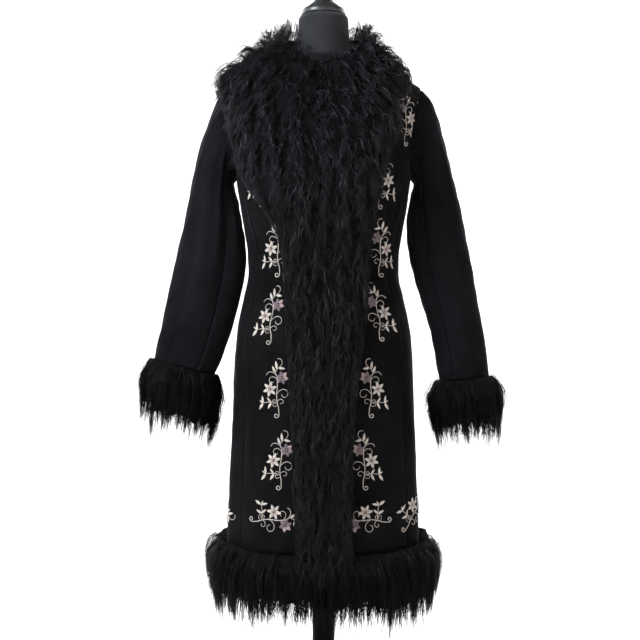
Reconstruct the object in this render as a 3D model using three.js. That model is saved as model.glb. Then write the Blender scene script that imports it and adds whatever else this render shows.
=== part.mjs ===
// A knee-length black suede coat trimmed with long curly lamb, closed over a limbless dress form
// that stands on a post and a round base.
// Millimetres, +Z up, the coat's front towards -Y. Left and right are the wearer's: left is +X.
// The origin is the middle of the base's underside, on the floor.

import * as THREE from "three";

// Driving dimensions
const SUEDE = 1.8; // thickness of a suede panel
const SEAM_GAP = 0.4; // between neighbouring pieces
const PELT_LIFT = 0.8; // between a panel and the underside of the trim that lies on it
const HEM_Z = 452; // cut edge of the suede
const UNDERARM_Z = 1150;
const ARMHOLE_JOIN_Z = 1195; // where the long body seams run into the armhole
const SHOULDER_Z = 1322; // outer end of the shoulder seam
const NECK_SIDE_Z = 1380; // inner end of the shoulder seam
const NECK_FRONT_Z = 1335;
const NECK_BACK_Z = 1390;
const SEAM_ANGLE = 36; // long body seams at the hem, degrees from the side
const ARMHOLE_ANGLE = 23; // front and back edges of the armhole, degrees from the side
const SEAM_TURN_Z = 1000; // above this the long seams lean towards the armhole
const SECTION_ROUND = 2.25; // exponent of the body's sections: 2 is an ellipse

// Half the body's width, and its depth in front of and behind the side line, by height.
const BODY = [
  { z: 430, half: 187.5, front: 132, back: 139 },
  { z: 452, half: 187, front: 132, back: 138 },
  { z: 526, half: 184, front: 130, back: 136 },
  { z: 614, half: 180.5, front: 128, back: 134 },
  { z: 703, half: 175.5, front: 125, back: 130 },
  { z: 792, half: 172, front: 121, back: 125 },
  { z: 861, half: 166, front: 114, back: 117 },
  { z: 918, half: 155, front: 106, back: 106 },
  { z: 968, half: 144.5, front: 99, back: 96 },
  { z: 1002, half: 145.5, front: 99, back: 93 },
  { z: 1064, half: 155, front: 112, back: 94 },
  { z: 1115, half: 163, front: 126, back: 97 },
  { z: 1150, half: 168, front: 126, back: 101 },
  { z: 1200, half: 174, front: 117, back: 104 },
  { z: 1250, half: 181, front: 101, back: 103 },
  { z: 1290, half: 186, front: 85, back: 97 },
  { z: 1310, half: 189, front: 76, back: 89 },
  { z: 1322, half: 187, front: 70, back: 84 },
  { z: 1345, half: 143, front: 60, back: 73 },
  { z: 1362, half: 108, front: 55, back: 64 },
  { z: 1380, half: 72, front: 51, back: 56 },
  { z: 1400, half: 60, front: 49, back: 50 },
];

// The skirt's long folds: where each runs, in degrees round the body from the wearer's left
// side (front is -90), its top, its outward swell at the hem and its width in degrees.
const SKIRT_FOLDS = [
  { angle: -24, top: 900, swell: 4.5, width: 8 },
  { angle: -4, top: 860, swell: -5, width: 9 },
  { angle: 17, top: 930, swell: 6, width: 8 },
  { angle: 44, top: 840, swell: -4, width: 10 },
  { angle: 66, top: 900, swell: 6, width: 9 },
  { angle: 90, top: 820, swell: -4, width: 9 },
  { angle: 113, top: 910, swell: 5, width: 8 },
  { angle: 138, top: 850, swell: -5, width: 10 },
  { angle: 161, top: 940, swell: 6, width: 8 },
  { angle: 181, top: 870, swell: -5, width: 8 },
  { angle: 201, top: 960, swell: 5.5, width: 7 },
  { angle: 218, top: 820, swell: -3, width: 8 },
];

// Heights of the grid rows of the body panels, from the hem to where the long seams end.
const PANEL_ROWS = [
  HEM_Z, 500, 550, 600, 652, 705, 758, 808, 852, 892, 930, 968, 1005, 1045, 1085, 1122, 1158,
  ARMHOLE_JOIN_Z,
];
const FAN_ROWS = 9; // rows that fan from the centre edge and neckline to the armhole
const FRONT_CENTRE_Z = [1240, 1288, NECK_FRONT_Z]; // fan rows that end on the front edge
const BACK_CENTRE_Z = [1262, 1305, 1348, NECK_BACK_Z]; // fan rows that end on the back seam
const PLAIN_COLUMNS = 3; // grid steps of a panel beyond its fur
const SIDE_COLUMNS = 9;

// The sleeves' sections, in the plane through the sleeve's outline: its outer and inner points
// (x away from the body's middle), half its depth, and how far forward its middle lies.
const SLEEVE_LEFT = [
  { outX: 204, outZ: 1311, inX: 171, inZ: 1140, depth: 52, forward: 0 },
  { outX: 214, outZ: 1289, inX: 169, inZ: 1128, depth: 50, forward: 1 },
  { outX: 223, outZ: 1258, inX: 166.5, inZ: 1112, depth: 49, forward: 2 },
  { outX: 232, outZ: 1222, inX: 163.5, inZ: 1094, depth: 48, forward: 3 },
  { outX: 245, outZ: 1172, inX: 160, inZ: 1068, depth: 46, forward: 4 },
  { outX: 258, outZ: 1114, inX: 161, inZ: 1030, depth: 44, forward: 5 },
  { outX: 271, outZ: 1052, inX: 167.5, inZ: 990, depth: 43, forward: 7 },
  { outX: 283, outZ: 990, inX: 178, inZ: 948, depth: 42, forward: 9 },
  { outX: 293, outZ: 932, inX: 191, inZ: 905, depth: 41, forward: 11 },
  { outX: 303, outZ: 876, inX: 203.5, inZ: 860, depth: 40, forward: 13 },
  { outX: 311, outZ: 824, inX: 213.5, inZ: 813, depth: 39, forward: 15 },
  { outX: 317, outZ: 772, inX: 222, inZ: 764, depth: 38, forward: 16 },
];
const SLEEVE_RIGHT = [
  { outX: 204, outZ: 1310, inX: 171, inZ: 1140, depth: 52, forward: 0 },
  { outX: 214, outZ: 1284, inX: 169, inZ: 1128, depth: 50, forward: 1 },
  { outX: 225, outZ: 1252, inX: 166.5, inZ: 1112, depth: 49, forward: 2 },
  { outX: 236, outZ: 1218, inX: 163.5, inZ: 1094, depth: 48, forward: 4 },
  { outX: 248, outZ: 1168, inX: 159.5, inZ: 1068, depth: 47, forward: 6 },
  { outX: 260, outZ: 1106, inX: 153.5, inZ: 1028, depth: 45, forward: 8 },
  { outX: 273, outZ: 1041, inX: 152, inZ: 982, depth: 44, forward: 10 },
  { outX: 288, outZ: 972, inX: 158, inZ: 933, depth: 42, forward: 13 },
  { outX: 302, outZ: 908, inX: 170, inZ: 880, depth: 41, forward: 16 },
  { outX: 314, outZ: 852, inX: 187, inZ: 826, depth: 40, forward: 18 },
  { outX: 324, outZ: 806, inX: 208, inZ: 776, depth: 39, forward: 20 },
];
const SLEEVE_HEAD_BLEND = [0.45, 0.8]; // how far the first sections have left the armhole's shape

// Soft creases of the sleeves: place round the sleeve in degrees from the underarm by way of
// the back, stretch along it as shares of its length, swell and width in degrees.
const SLEEVE_FOLDS = [
  { around: 262, from: 0.12, to: 0.92, swell: 3.2, width: 15 },
  { around: 300, from: 0.18, to: 0.7, swell: -4, width: 17 },
  { around: 222, from: 0.3, to: 0.8, swell: -2.4, width: 16 },
  { around: 95, from: 0.25, to: 0.75, swell: -3.5, width: 20 },
  { around: 130, from: 0.2, to: 0.9, swell: 3, width: 16 },
];

// Reach of the front bands' and lapels' fur from the front edge, by height.
const BAND_WIDTHS = [
  { z: 452, right: 50, left: 47 },
  { z: 560, right: 55, left: 51 },
  { z: 660, right: 58, left: 60 },
  { z: 740, right: 62, left: 70 },
  { z: 860, right: 66, left: 80 },
  { z: 985, right: 73, left: 88 },
  { z: 1045, right: 82, left: 88 },
  { z: 1085, right: 104, left: 90 },
  { z: 1122, right: 130, left: 97 },
  { z: 1158, right: 148, left: 105 },
  { z: 1195, right: 155, left: 108 },
];
const BAND_TOP_ROW = 14; // panel row where the bands meet the lapels

// The collar from its lapel ends, over the shoulder, to the middle of the back. Shares are of
// a panel row's length; height is the fur's depth and stand what the neck edge adds to it.
const COLLAR_FRONT = [
  { right: 0.97, left: 0.66, height: 42, stand: 0 },
  { right: 0.97, left: 0.63, height: 43, stand: 0 },
  { right: 0.97, left: 0.59, height: 44, stand: 12 },
  { right: 0.97, left: 0.55, height: 44, stand: 22 },
  { right: 0.97, left: 0.52, height: 45, stand: 28 },
  { right: 0.97, left: 0.5, height: 45, stand: 32 },
  { right: 0.97, left: 0.49, height: 46, stand: 34 },
  { right: 0.96, left: 0.49, height: 46, stand: 35 },
  { right: 0.95, left: 0.5, height: 46, stand: 35 },
];
const COLLAR_BACK = [
  { right: 0.93, left: 0.52, height: 47, stand: 36 },
  { right: 0.91, left: 0.56, height: 48, stand: 38 },
  { right: 0.89, left: 0.62, height: 48, stand: 41 },
  { right: 0.87, left: 0.69, height: 48, stand: 44 },
  { right: 0.85, left: 0.76, height: 47, stand: 42 },
  { right: 0.84, left: 0.8, height: 46, stand: 20 },
  { right: 0.82, left: 0.81, height: 43, stand: 2 },
  { right: 0.8, left: 0.8, height: 34, stand: 0 },
];
const LAPEL_HEIGHT = 40;
const BAND_HEIGHT = 34;

// Across a strip of fur, from the front or neck edge outwards: depth and stand as shares, how
// far the hair leans out, and how far a standing collar turns it back in to the neck.
const FUR_ACROSS = [
  { at: 0, depth: 0.78, stand: 1, lean: 0, turnIn: 1.2 },
  { at: 0.17, depth: 0.95, stand: 1, lean: 0, turnIn: 0.7 },
  { at: 0.4, depth: 1, stand: 0.5, lean: 0.05, turnIn: 0.2 },
  { at: 0.64, depth: 0.97, stand: 0.1, lean: 0.22, turnIn: 0 },
  { at: 0.85, depth: 0.72, stand: 0, lean: 0.5, turnIn: 0 },
  { at: 1, depth: 0.26, stand: 0, lean: 0.9, turnIn: 0 },
];
const FULL_STAND = 36; // a stand that turns the hair in fully
const NECKWARD_RISE = 1.5; // how steeply it then points up

// The hem fur's section, clockwise from its inner top: out from the suede's face, height over
// the cut edge, and how much of the sides' upward puff it takes.
const HEM_SECTION = [
  { out: -1.8, up: -0.8, puff: 0 },
  { out: 2.6, up: -0.8, puff: 0 },
  { out: 3.2, up: -0.6, puff: 1 },
  { out: 14, up: -1.5, puff: 1.15 },
  { out: 29, up: -8, puff: 0.7 },
  { out: 39, up: -28, puff: 0.3 },
  { out: 42, up: -54, puff: 0 },
  { out: 38, up: -82, puff: 0 },
  { out: 27, up: -103, puff: 0 },
  { out: 11, up: -117, puff: 0 },
  { out: -3, up: -119, puff: 0 },
  { out: -10, up: -104, puff: 0 },
  { out: -8, up: -60, puff: 0 },
];
const HEM_PUFF = 25; // at the sides and back; none in front
const HEM_STATIONS = 30;
const LOCK_SHARE = 0.06; // how far the trim's outline swells and draws in from lock to lock
const LOCK_DROP = 6; // and how unevenly its lower edge hangs

// The cuffs' fur beyond the sleeve's edge: distance along the sleeve, outer and inner offset.
const CUFF_SECTION = [
  { along: 0.8, outer: 4, inner: -1.8 },
  { along: 8, outer: 15, inner: -2.2 },
  { along: 24, outer: 23, inner: -2.6 },
  { along: 50, outer: 27, inner: -3 },
  { along: 82, outer: 27, inner: -4 },
  { along: 110, outer: 22, inner: -7 },
  { along: 130, outer: 12, inner: -9 },
  { along: 140, outer: 2, inner: -8 },
];
const CUFF_FULLNESS = { left: 1.08, right: 0.93 };
const CUFF_LENGTH = { left: 0.93, right: 0.98 };
const CUFF_HANG = 0.3; // how far the fur turns from the sleeve's line to hang straight down

// The dress form under the cloth: room between it and the suede, by height.
const FORM_ROOM = [
  { z: 700, room: 16 },
  { z: 860, room: 13 },
  { z: 980, room: 9 },
  { z: 1120, room: 6 },
  { z: 1240, room: 4.5 },
  { z: 1300, room: 4.3 },
  { z: 1345, room: 3.7 },
  { z: 1380, room: 3.6 },
];
const FORM_ROWS = [
  705, 716, 745, 790, 835, 880, 920, 955, 990, 1030, 1070, 1105, 1140, 1180, 1220, 1260, 1290,
  1308, 1320, 1332, 1345, 1358, 1370,
];
const FORM_EDGE = 9; // how far the lowest ring is drawn in, a softened edge
const FORM_POINTS = 32;
const NECK = [
  { z: 1383, half: 61, depth: 52 },
  { z: 1398, half: 53, depth: 50 },
  { z: 1416, half: 49.5, depth: 48.5 },
  { z: 1440, half: 48.5, depth: 47.5 },
  { z: 1458, half: 48, depth: 47 },
  { z: 1463, half: 45, depth: 44 },
];
const NECK_MIDDLE_Y = -1;

// Turned pieces, as radius and height: the neck cap with its knob, the post and the base.
const CAP_Z = 1463.4;
const CAP_PROFILE = [
  [0, 0], [40, 0], [43, 3], [43, 10], [40, 14.5], [33, 16], [31, 20], [24, 25], [18, 30],
  [17, 37], [19, 42], [24, 48], [25.5, 56], [23, 65], [15, 72], [0, 75],
];
const BASE_RADIUS = 190;
const BASE_HEIGHT = 24;
const POST_FOOT_RADIUS = 22;
const POST_HEAD_RADIUS = 20;
const BASE_PROFILE = [
  [0, 0], [BASE_RADIUS - 4, 0], [BASE_RADIUS, 4], [BASE_RADIUS, 15], [BASE_RADIUS - 3, 19],
  [60, BASE_HEIGHT], [0, BASE_HEIGHT],
];
const TURNED_POINTS = 36;

const COLOURS = {
  suede: 0x1b1b1d,
  fur: 0x141317,
  form: 0x222325,
  wood: 0x18181a,
};
const UP = new THREE.Vector3(0, 0, 1);

// A smooth curve through one column of a table, without overshoot.
function curve(rows, key, column) {
  const slope = rows.map((row, i) => {
    if (i === 0 || i === rows.length - 1) return 0;
    const before = (row[column] - rows[i - 1][column]) / (row[key] - rows[i - 1][key]);
    const after = (rows[i + 1][column] - row[column]) / (rows[i + 1][key] - row[key]);
    return before * after > 0 ? (2 * before * after) / (before + after) : 0;
  });
  return (at) => {
    let i = 0;
    while (i < rows.length - 2 && at > rows[i + 1][key]) i += 1;
    const span = rows[i + 1][key] - rows[i][key];
    const t = THREE.MathUtils.clamp((at - rows[i][key]) / span, 0, 1);
    const [a, b] = [rows[i][column], rows[i + 1][column]];
    const ease = t * t * (3 - 2 * t);
    return a + (b - a) * ease
      + span * t * (1 - t) * ((1 - t) * slope[i] - t * slope[i + 1]);
  };
}

const bodyHalf = curve(BODY, "z", "half");
const bodyFront = curve(BODY, "z", "front");
const bodyBack = curve(BODY, "z", "back");
const formRoom = curve(FORM_ROOM, "z", "room");
const mix = THREE.MathUtils.lerp;
const radians = THREE.MathUtils.degToRad;

function bell(offset, width) {
  return Math.exp(-((offset / width) ** 2));
}

// How far the skirt's folds push the cloth out at an angle and height.
function foldSwell(angle, z) {
  return SKIRT_FOLDS.reduce((sum, fold) => {
    const turn = THREE.MathUtils.euclideanModulo(angle - fold.angle + 180, 360) - 180;
    const grown = THREE.MathUtils.smoothstep(fold.top - z, 0, fold.top - HEM_Z);
    return sum + fold.swell * grown * bell(turn, fold.width);
  }, 0);
}

// A point of the body's outer face. Angles are degrees round the body, 0 at the wearer's left.
function bodyPoint(angle, z) {
  const [c, s] = [Math.cos(radians(angle)), Math.sin(radians(angle))];
  const power = 2 / SECTION_ROUND;
  const depth = s < 0 ? bodyFront(z) : bodyBack(z);
  const half = bodyHalf(z);
  const out = new THREE.Vector2(c / half, s / depth).setLength(foldSwell(angle, z));
  return new THREE.Vector3(
    half * Math.sign(c) * Math.abs(c) ** power + out.x,
    depth * Math.sign(s) * Math.abs(s) ** power + out.y,
    z,
  );
}

function bodyNormal(angle, z) {
  const [turn, rise] = [0.8, 1.5];
  const across = bodyPoint(angle + turn, z).sub(bodyPoint(angle - turn, z));
  const upward = bodyPoint(angle, z + rise).sub(bodyPoint(angle, z - rise));
  return across.cross(upward).normalize();
}

// Where a place on the wearer's left lies on the given side: 1 is left and -1 is right.
function sideAngle(side, angle) {
  return side > 0 ? angle : 180 - angle;
}

function onBody(side, place, lift) {
  const angle = sideAngle(side, place.angle);
  return bodyPoint(angle, place.z).addScaledVector(bodyNormal(angle, place.z), lift);
}

function longSeamAngle(z) {
  const lean = THREE.MathUtils.smoothstep(z, SEAM_TURN_Z, ARMHOLE_JOIN_Z);
  return mix(SEAM_ANGLE, ARMHOLE_ANGLE, lean);
}

// The places where each row of a front or back panel starts, on the centre edge and then the
// neckline, and ends, on the long seam and then the armhole. face is -1 for front, 1 for back.
function panelRows(face) {
  const rows = PANEL_ROWS.map((z) => ({
    start: { angle: 90 * face, z },
    end: { angle: longSeamAngle(z) * face, z },
  }));
  const centre = face < 0 ? FRONT_CENTRE_Z : BACK_CENTRE_Z;
  const neckZ = centre[centre.length - 1];
  for (let k = 1; k <= FAN_ROWS; k += 1) {
    const quarter = (Math.PI / 2) * (k / FAN_ROWS);
    const round = (k - centre.length) / (FAN_ROWS - centre.length);
    const neckAngle = 90 * (1 - round);
    const start = k <= centre.length
      ? { angle: 90 * face, z: centre[k - 1] }
      : { angle: neckAngle * face, z: mix(neckZ, NECK_SIDE_Z, Math.cos(radians(neckAngle))) };
    const end = {
      angle: ARMHOLE_ANGLE * Math.max(Math.cos(quarter), 0) ** 0.8 * face,
      z: mix(ARMHOLE_JOIN_Z, SHOULDER_Z, Math.sin(quarter)),
    };
    rows.push({ start, end });
  }
  return rows;
}

function between(row, share) {
  return {
    angle: mix(row.start.angle, row.end.angle, share),
    z: mix(row.start.z, row.end.z, share),
  };
}

const FRONT_ROWS = panelRows(-1);
const BACK_ROWS = panelRows(1);

// The side panel's places, its top cut down to the underarm.
function sidePlaces() {
  return PANEL_ROWS.map((rowZ) => Array.from({ length: SIDE_COLUMNS }, (_, j) => {
    const across = (2 * j) / (SIDE_COLUMNS - 1) - 1;
    const top = mix(UNDERARM_Z, ARMHOLE_JOIN_Z, Math.abs(across) ** 2.2);
    const z = HEM_Z + ((rowZ - HEM_Z) * (top - HEM_Z)) / (ARMHOLE_JOIN_Z - HEM_Z);
    return { angle: across * longSeamAngle(z), z };
  }));
}

// A geometry from points and triangles, turned so that its faces point out.
function closedBody(points, faces) {
  const volume = faces.reduce((sum, [a, b, c]) => {
    const cross = points[b].clone().cross(points[c]);
    return sum + points[a].dot(cross);
  }, 0);
  const index = faces.flatMap(([a, b, c]) => (volume > 0 ? [a, b, c] : [a, c, b]));
  const geometry = new THREE.BufferGeometry();
  geometry.setAttribute(
    "position",
    new THREE.Float32BufferAttribute(points.flatMap((p) => p.toArray()), 3),
  );
  geometry.setIndex(index);
  geometry.computeVertexNormals();
  return geometry;
}

// A closed wall between two grids of the same size. Where ring is true the rows close round.
function wall(outer, inner, ring = false) {
  const [rows, columns] = [outer.length, outer[0].length];
  const points = [...outer.flat(), ...inner.flat()];
  const shift = rows * columns;
  const at = (layer, i, j) => layer * shift + i * columns + (j % columns);
  const faces = [];
  const quad = (a, b, c, d) => faces.push([a, b, c], [a, c, d]);
  const steps = ring ? columns : columns - 1;
  for (let i = 0; i < rows - 1; i += 1) {
    for (let j = 0; j < steps; j += 1) {
      quad(at(0, i, j), at(0, i, j + 1), at(0, i + 1, j + 1), at(0, i + 1, j));
      quad(at(1, i, j), at(1, i + 1, j), at(1, i + 1, j + 1), at(1, i, j + 1));
    }
    if (!ring) {
      const last = columns - 1;
      quad(at(0, i, 0), at(0, i + 1, 0), at(1, i + 1, 0), at(1, i, 0));
      quad(at(0, i, last), at(1, i, last), at(1, i + 1, last), at(0, i + 1, last));
    }
  }
  for (let j = 0; j < steps; j += 1) {
    const last = rows - 1;
    quad(at(0, 0, j), at(1, 0, j), at(1, 0, j + 1), at(0, 0, j + 1));
    quad(at(0, last, j), at(0, last, j + 1), at(1, last, j + 1), at(1, last, j));
  }
  return closedBody(points, faces);
}

// A closed body through rings of points, capped at both ends by the rings' own outline.
function loft(rings, outlines) {
  const count = rings[0].length;
  const faces = [];
  for (let i = 0; i < rings.length - 1; i += 1) {
    for (let j = 0; j < count; j += 1) {
      const [a, b] = [i * count + j, i * count + ((j + 1) % count)];
      faces.push([a, b, b + count], [a, b + count, a + count]);
    }
  }
  const last = (rings.length - 1) * count;
  const cap = (outline) => THREE.ShapeUtils.triangulateShape(outline, [])
    .map((face) => face.sort((a, b) => a - b));
  cap(outlines[0]).forEach(([a, b, c]) => faces.push([c, b, a]));
  cap(outlines[1]).forEach((face) => faces.push(face.map((i) => last + i)));
  return closedBody(rings.flat(), faces);
}

// Draws the edges of a grid in by half a seam gap, so that neighbouring pieces stand apart.
function parted(grid, { rows = true, columns = true } = {}) {
  const drawn = grid.map((row) => row.map((p) => p.clone()));
  const draw = (p, towards) => {
    p.addScaledVector(towards.clone().sub(p).normalize(), SEAM_GAP / 2);
  };
  const last = grid.length - 1;
  if (columns) {
    drawn.forEach((row, i) => {
      draw(row[0], grid[i][1]);
      draw(row[row.length - 1], grid[i][row.length - 2]);
    });
  }
  if (rows) {
    drawn[0].forEach((p, j) => draw(p, grid[1][j]));
    drawn[last].forEach((p, j) => draw(p, grid[last - 1][j]));
  }
  return drawn;
}

function middleOf(ring) {
  return ring.reduce((sum, p) => sum.add(p), new THREE.Vector3()).divideScalar(ring.length);
}

// Normals of a grid of rings by central differences, turned away from the rings' middles.
function ringNormals(grid) {
  const [last, columns] = [grid.length - 1, grid[0].length];
  const normals = grid.map((row, i) => row.map((_, j) => {
    const [below, above] = [grid[Math.max(i - 1, 0)], grid[Math.min(i + 1, last)]];
    const across = row[(j + 1) % columns].clone().sub(row[(j + columns - 1) % columns]);
    return across.cross(above[j].clone().sub(below[j])).normalize();
  }));
  const away = grid[last][0].clone().sub(middleOf(grid[last]));
  if (away.dot(normals[last][0]) < 0) normals.flat().forEach((normal) => normal.negate());
  return normals;
}

function moved(grid, normals, lift) {
  return grid.map((row, i) => row.map((p, j) => p.clone().addScaledVector(normals[i][j], lift)));
}

const materials = Object.fromEntries(Object.entries(COLOURS).map(([name, color]) => [
  name,
  new THREE.MeshStandardMaterial({ color, roughness: name === "wood" ? 0.5 : 0.9, metalness: 0 }),
]));
const coat = new THREE.Group();

function add(name, geometry, material, parent = coat) {
  const mesh = new THREE.Mesh(geometry, materials[material]);
  mesh.name = name;
  parent.add(mesh);
  return mesh;
}

// Body panels: two fronts, two sides and two backs
function bodyPanel(name, side, places) {
  const face = (lift) => parted(places.map((row) => row.map((p) => onBody(side, p, lift))));
  add(name, wall(face(0), face(-SUEDE)), "suede");
}

// Each row's grid shares: the fur's stations first, and then even steps to the seam.
function rowShares(reach) {
  const plain = Array.from({ length: PLAIN_COLUMNS }, (_, j) => (j + 1) / PLAIN_COLUMNS);
  return [
    ...FUR_ACROSS.map((station) => station.at * reach),
    ...plain.map((step) => mix(reach, 1, step)),
  ];
}

function rowPlaces(fur) {
  return fur.map(({ row, share }) => rowShares(share).map((at) => between(row, at)));
}

// The armhole's edge from the front seam, under the arm, up the back and down the front.
function armhole(side) {
  const places = sidePlaces();
  const loop = [...places[places.length - 1]];
  const first = PANEL_ROWS.length;
  for (let k = 0; k < FAN_ROWS; k += 1) loop.push(BACK_ROWS[first + k].end);
  for (let k = FAN_ROWS - 2; k >= 0; k -= 1) loop.push(FRONT_ROWS[first + k].end);
  return loop.map((p) => onBody(side, p, 0));
}

// How far round the sleeve each point of the armhole lies, 0 under the arm.
function shareRound(loop) {
  const reach = [0];
  loop.forEach((p, i) => reach.push(reach[i] + p.distanceTo(loop[(i + 1) % loop.length])));
  const whole = reach[loop.length];
  const underarm = reach[(SIDE_COLUMNS - 1) / 2];
  return loop.map((_, i) => (2 * Math.PI * (reach[i] - underarm)) / whole);
}

function sleeveSwell(turn, along) {
  return SLEEVE_FOLDS.reduce((sum, fold) => {
    const offset = THREE.MathUtils.radToDeg(turn) - fold.around;
    const near = THREE.MathUtils.euclideanModulo(offset + 180, 360) - 180;
    const middle = (fold.from + fold.to) / 2;
    const reach = bell(along - middle, (fold.to - fold.from) / 2);
    return sum + fold.swell * reach * bell(near, fold.width);
  }, 0);
}

// One section of a sleeve: its middle, and its half axes across and in depth.
function sleeveSection(side, row) {
  const outer = new THREE.Vector3(side * row.outX, 0, row.outZ);
  const inner = new THREE.Vector3(side * row.inX, 0, row.inZ);
  return {
    middle: outer.clone().add(inner).multiplyScalar(0.5).setY(-row.forward),
    across: outer.clone().sub(inner).multiplyScalar(0.5),
    depth: new THREE.Vector3(0, row.depth, 0),
  };
}

function sectionPoint(section, turn, swell = 0) {
  const [c, s] = [Math.cos(turn), Math.sin(turn)];
  const arm = section.across.clone().multiplyScalar(-c).addScaledVector(section.depth, s);
  return section.middle.clone().add(arm).addScaledVector(arm.clone().normalize(), swell);
}

function sleeveGrid(side, table) {
  const loop = armhole(side);
  const turns = shareRound(loop);
  const centre = middleOf(loop);
  const grid = [loop];
  table.forEach((row, i) => {
    const section = sleeveSection(side, row);
    const shaped = SLEEVE_HEAD_BLEND[i] ?? 1;
    const shift = section.middle.clone().sub(centre);
    grid.push(turns.map((turn, k) => {
      const oval = sectionPoint(section, turn, sleeveSwell(turn, (i + 1) / table.length));
      return loop[k].clone().add(shift).lerp(oval, shaped);
    }));
  });
  return { grid, turns, end: sleeveSection(side, table[table.length - 1]) };
}

// A sleeve in two pieces, under and top, and the frame of its cuff edge.
function sleeve(name, side, table) {
  const { grid, turns, end } = sleeveGrid(side, table);
  const inside = moved(grid, ringNormals(grid), -SUEDE);
  const count = turns.length;
  const piece = (from, to) => {
    const pick = (rows) => rows.map((row) => Array.from(
      { length: to - from + 1 },
      (_, j) => row[(from + j) % count],
    ));
    return wall(parted(pick(grid)), parted(pick(inside)));
  };
  add(`sleeve_${name}_under`, piece(0, SIDE_COLUMNS - 1), "suede");
  add(`sleeve_${name}_top`, piece(SIDE_COLUMNS - 1, count), "suede");
  const [last, before] = [grid[grid.length - 1], grid[grid.length - 2]];
  const axis = middleOf(last).sub(middleOf(before)).normalize();
  return { turns, end, axis };
}

// Alternate points swell and draw in, as locks of curly wool do.
function lock(i) {
  return i % 2 ? 1 : -1;
}

function cuff(name, { turns, end, axis }) {
  const fullness = CUFF_FULLNESS[name];
  const fall = axis.clone().lerp(new THREE.Vector3(0, 0, -1), CUFF_HANG).normalize();
  const ringAt = (row, offset, lively) => turns.map((turn, k) => {
    const swell = offset * (lively ? 1 + LOCK_SHARE * lock(k) : 1);
    return sectionPoint(end, turn, swell)
      .addScaledVector(axis, Math.min(row.along, 1))
      .addScaledVector(fall, Math.max(row.along - 1, 0) * CUFF_LENGTH[name]);
  });
  const outer = CUFF_SECTION.map((row, i) => ringAt(row, row.outer * fullness, i > 0));
  const inner = CUFF_SECTION.map((row) => ringAt(row, row.inner, false));
  add(`fur_cuff_${name}`, wall(outer, inner, true), "fur");
}

// Share of a panel row at which the fur reaches a given distance from the front edge.
function shareAtWidth(row, width) {
  const reach = Math.min(width / bodyHalf(row.start.z), 1);
  const angle = THREE.MathUtils.radToDeg(Math.acos(reach ** (SECTION_ROUND / 2)));
  return (90 - angle) / (90 - Math.abs(row.end.angle));
}

// From a place on the body, in towards the neck and up.
function neckward(p) {
  return new THREE.Vector3(-p.x, NECK_MIDDLE_Y - p.y, 0).normalize()
    .addScaledVector(UP, NECKWARD_RISE).normalize();
}

// A strip of fur on rows of a panel: each row says its places, the fur's depth and its stand.
function furStrip(name, side, strip) {
  const across = FUR_ACROSS.map((station) => station.at);
  const under = strip.map(({ row, share }) => across.map(
    (at) => onBody(side, between(row, at * share), PELT_LIFT),
  ));
  const over = strip.map(({ row, share, height, stand }, i) => FUR_ACROSS.map((station, j) => {
    const place = between(row, station.at * share);
    const normal = bodyNormal(sideAngle(side, place.angle), place.z);
    const outward = under[i][Math.min(j + 1, across.length - 1)].clone()
      .sub(under[i][Math.max(j - 1, 0)]).normalize();
    if (j === 0 && Math.abs(row.start.angle) === 90) normal.setX(0).normalize();
    const turned = station.turnIn * Math.min(stand / FULL_STAND, 1);
    const lively = 1 + LOCK_SHARE * lock(i + j) * (j > 0 ? 1 : 0);
    normal.addScaledVector(outward, station.lean).addScaledVector(neckward(under[i][j]), turned);
    return under[i][j].clone()
      .addScaledVector(normal.normalize(), height * station.depth * lively)
      .addScaledVector(UP, stand * station.stand);
  }));
  const part = (grid) => grid.map((row) => row.map((p, j) => {
    const free = p.clone();
    if (j === 0 && Math.abs(p.x) < 1) free.x = (side * SEAM_GAP) / 2;
    return free;
  }));
  add(name, wall(part(over), part(under)), "fur");
}

// The fur on each row of a front panel: its reach along the row, its depth and its stand.
function frontFur(name) {
  const width = curve(BAND_WIDTHS, "z", name);
  return FRONT_ROWS.map((row, i) => {
    const collarRow = COLLAR_FRONT[i - PANEL_ROWS.length];
    if (collarRow) return { row, ...collarRow, share: collarRow[name] };
    const grown = THREE.MathUtils.clamp((i - BAND_TOP_ROW) / 2, 0, 1);
    return {
      row,
      share: shareAtWidth(row, width(row.start.z)),
      height: mix(BAND_HEIGHT, LAPEL_HEIGHT, grown),
      stand: 0,
    };
  });
}

// The same for a back panel, whose rows below the collar carry none.
function backFur(name) {
  const whole = [...COLLAR_FRONT.slice(-1), ...COLLAR_BACK];
  return BACK_ROWS.map((row, i) => {
    const fromShoulder = BACK_ROWS.length - 1 - i;
    const collarRow = whole[Math.min(fromShoulder, whole.length - 1)];
    return { row, ...collarRow, share: collarRow[name] };
  });
}

function lowered(row, drop) {
  const place = ({ angle, z }) => ({ angle, z: z - drop });
  return { start: place(row.start), end: place(row.end) };
}

function trim(name, side) {
  const front = frontFur(name);
  const back = backFur(name).slice(PANEL_ROWS.length, -1);
  const strip = front.slice(0, BAND_TOP_ROW);
  const top = front[BAND_TOP_ROW];
  strip.push({ ...top, row: lowered(top.row, SEAM_GAP) });
  furStrip(`fur_band_${name}`, side, strip);
  furStrip(`fur_collar_${name}`, side, [...front.slice(BAND_TOP_ROW), ...back.reverse()]);
}

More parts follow.
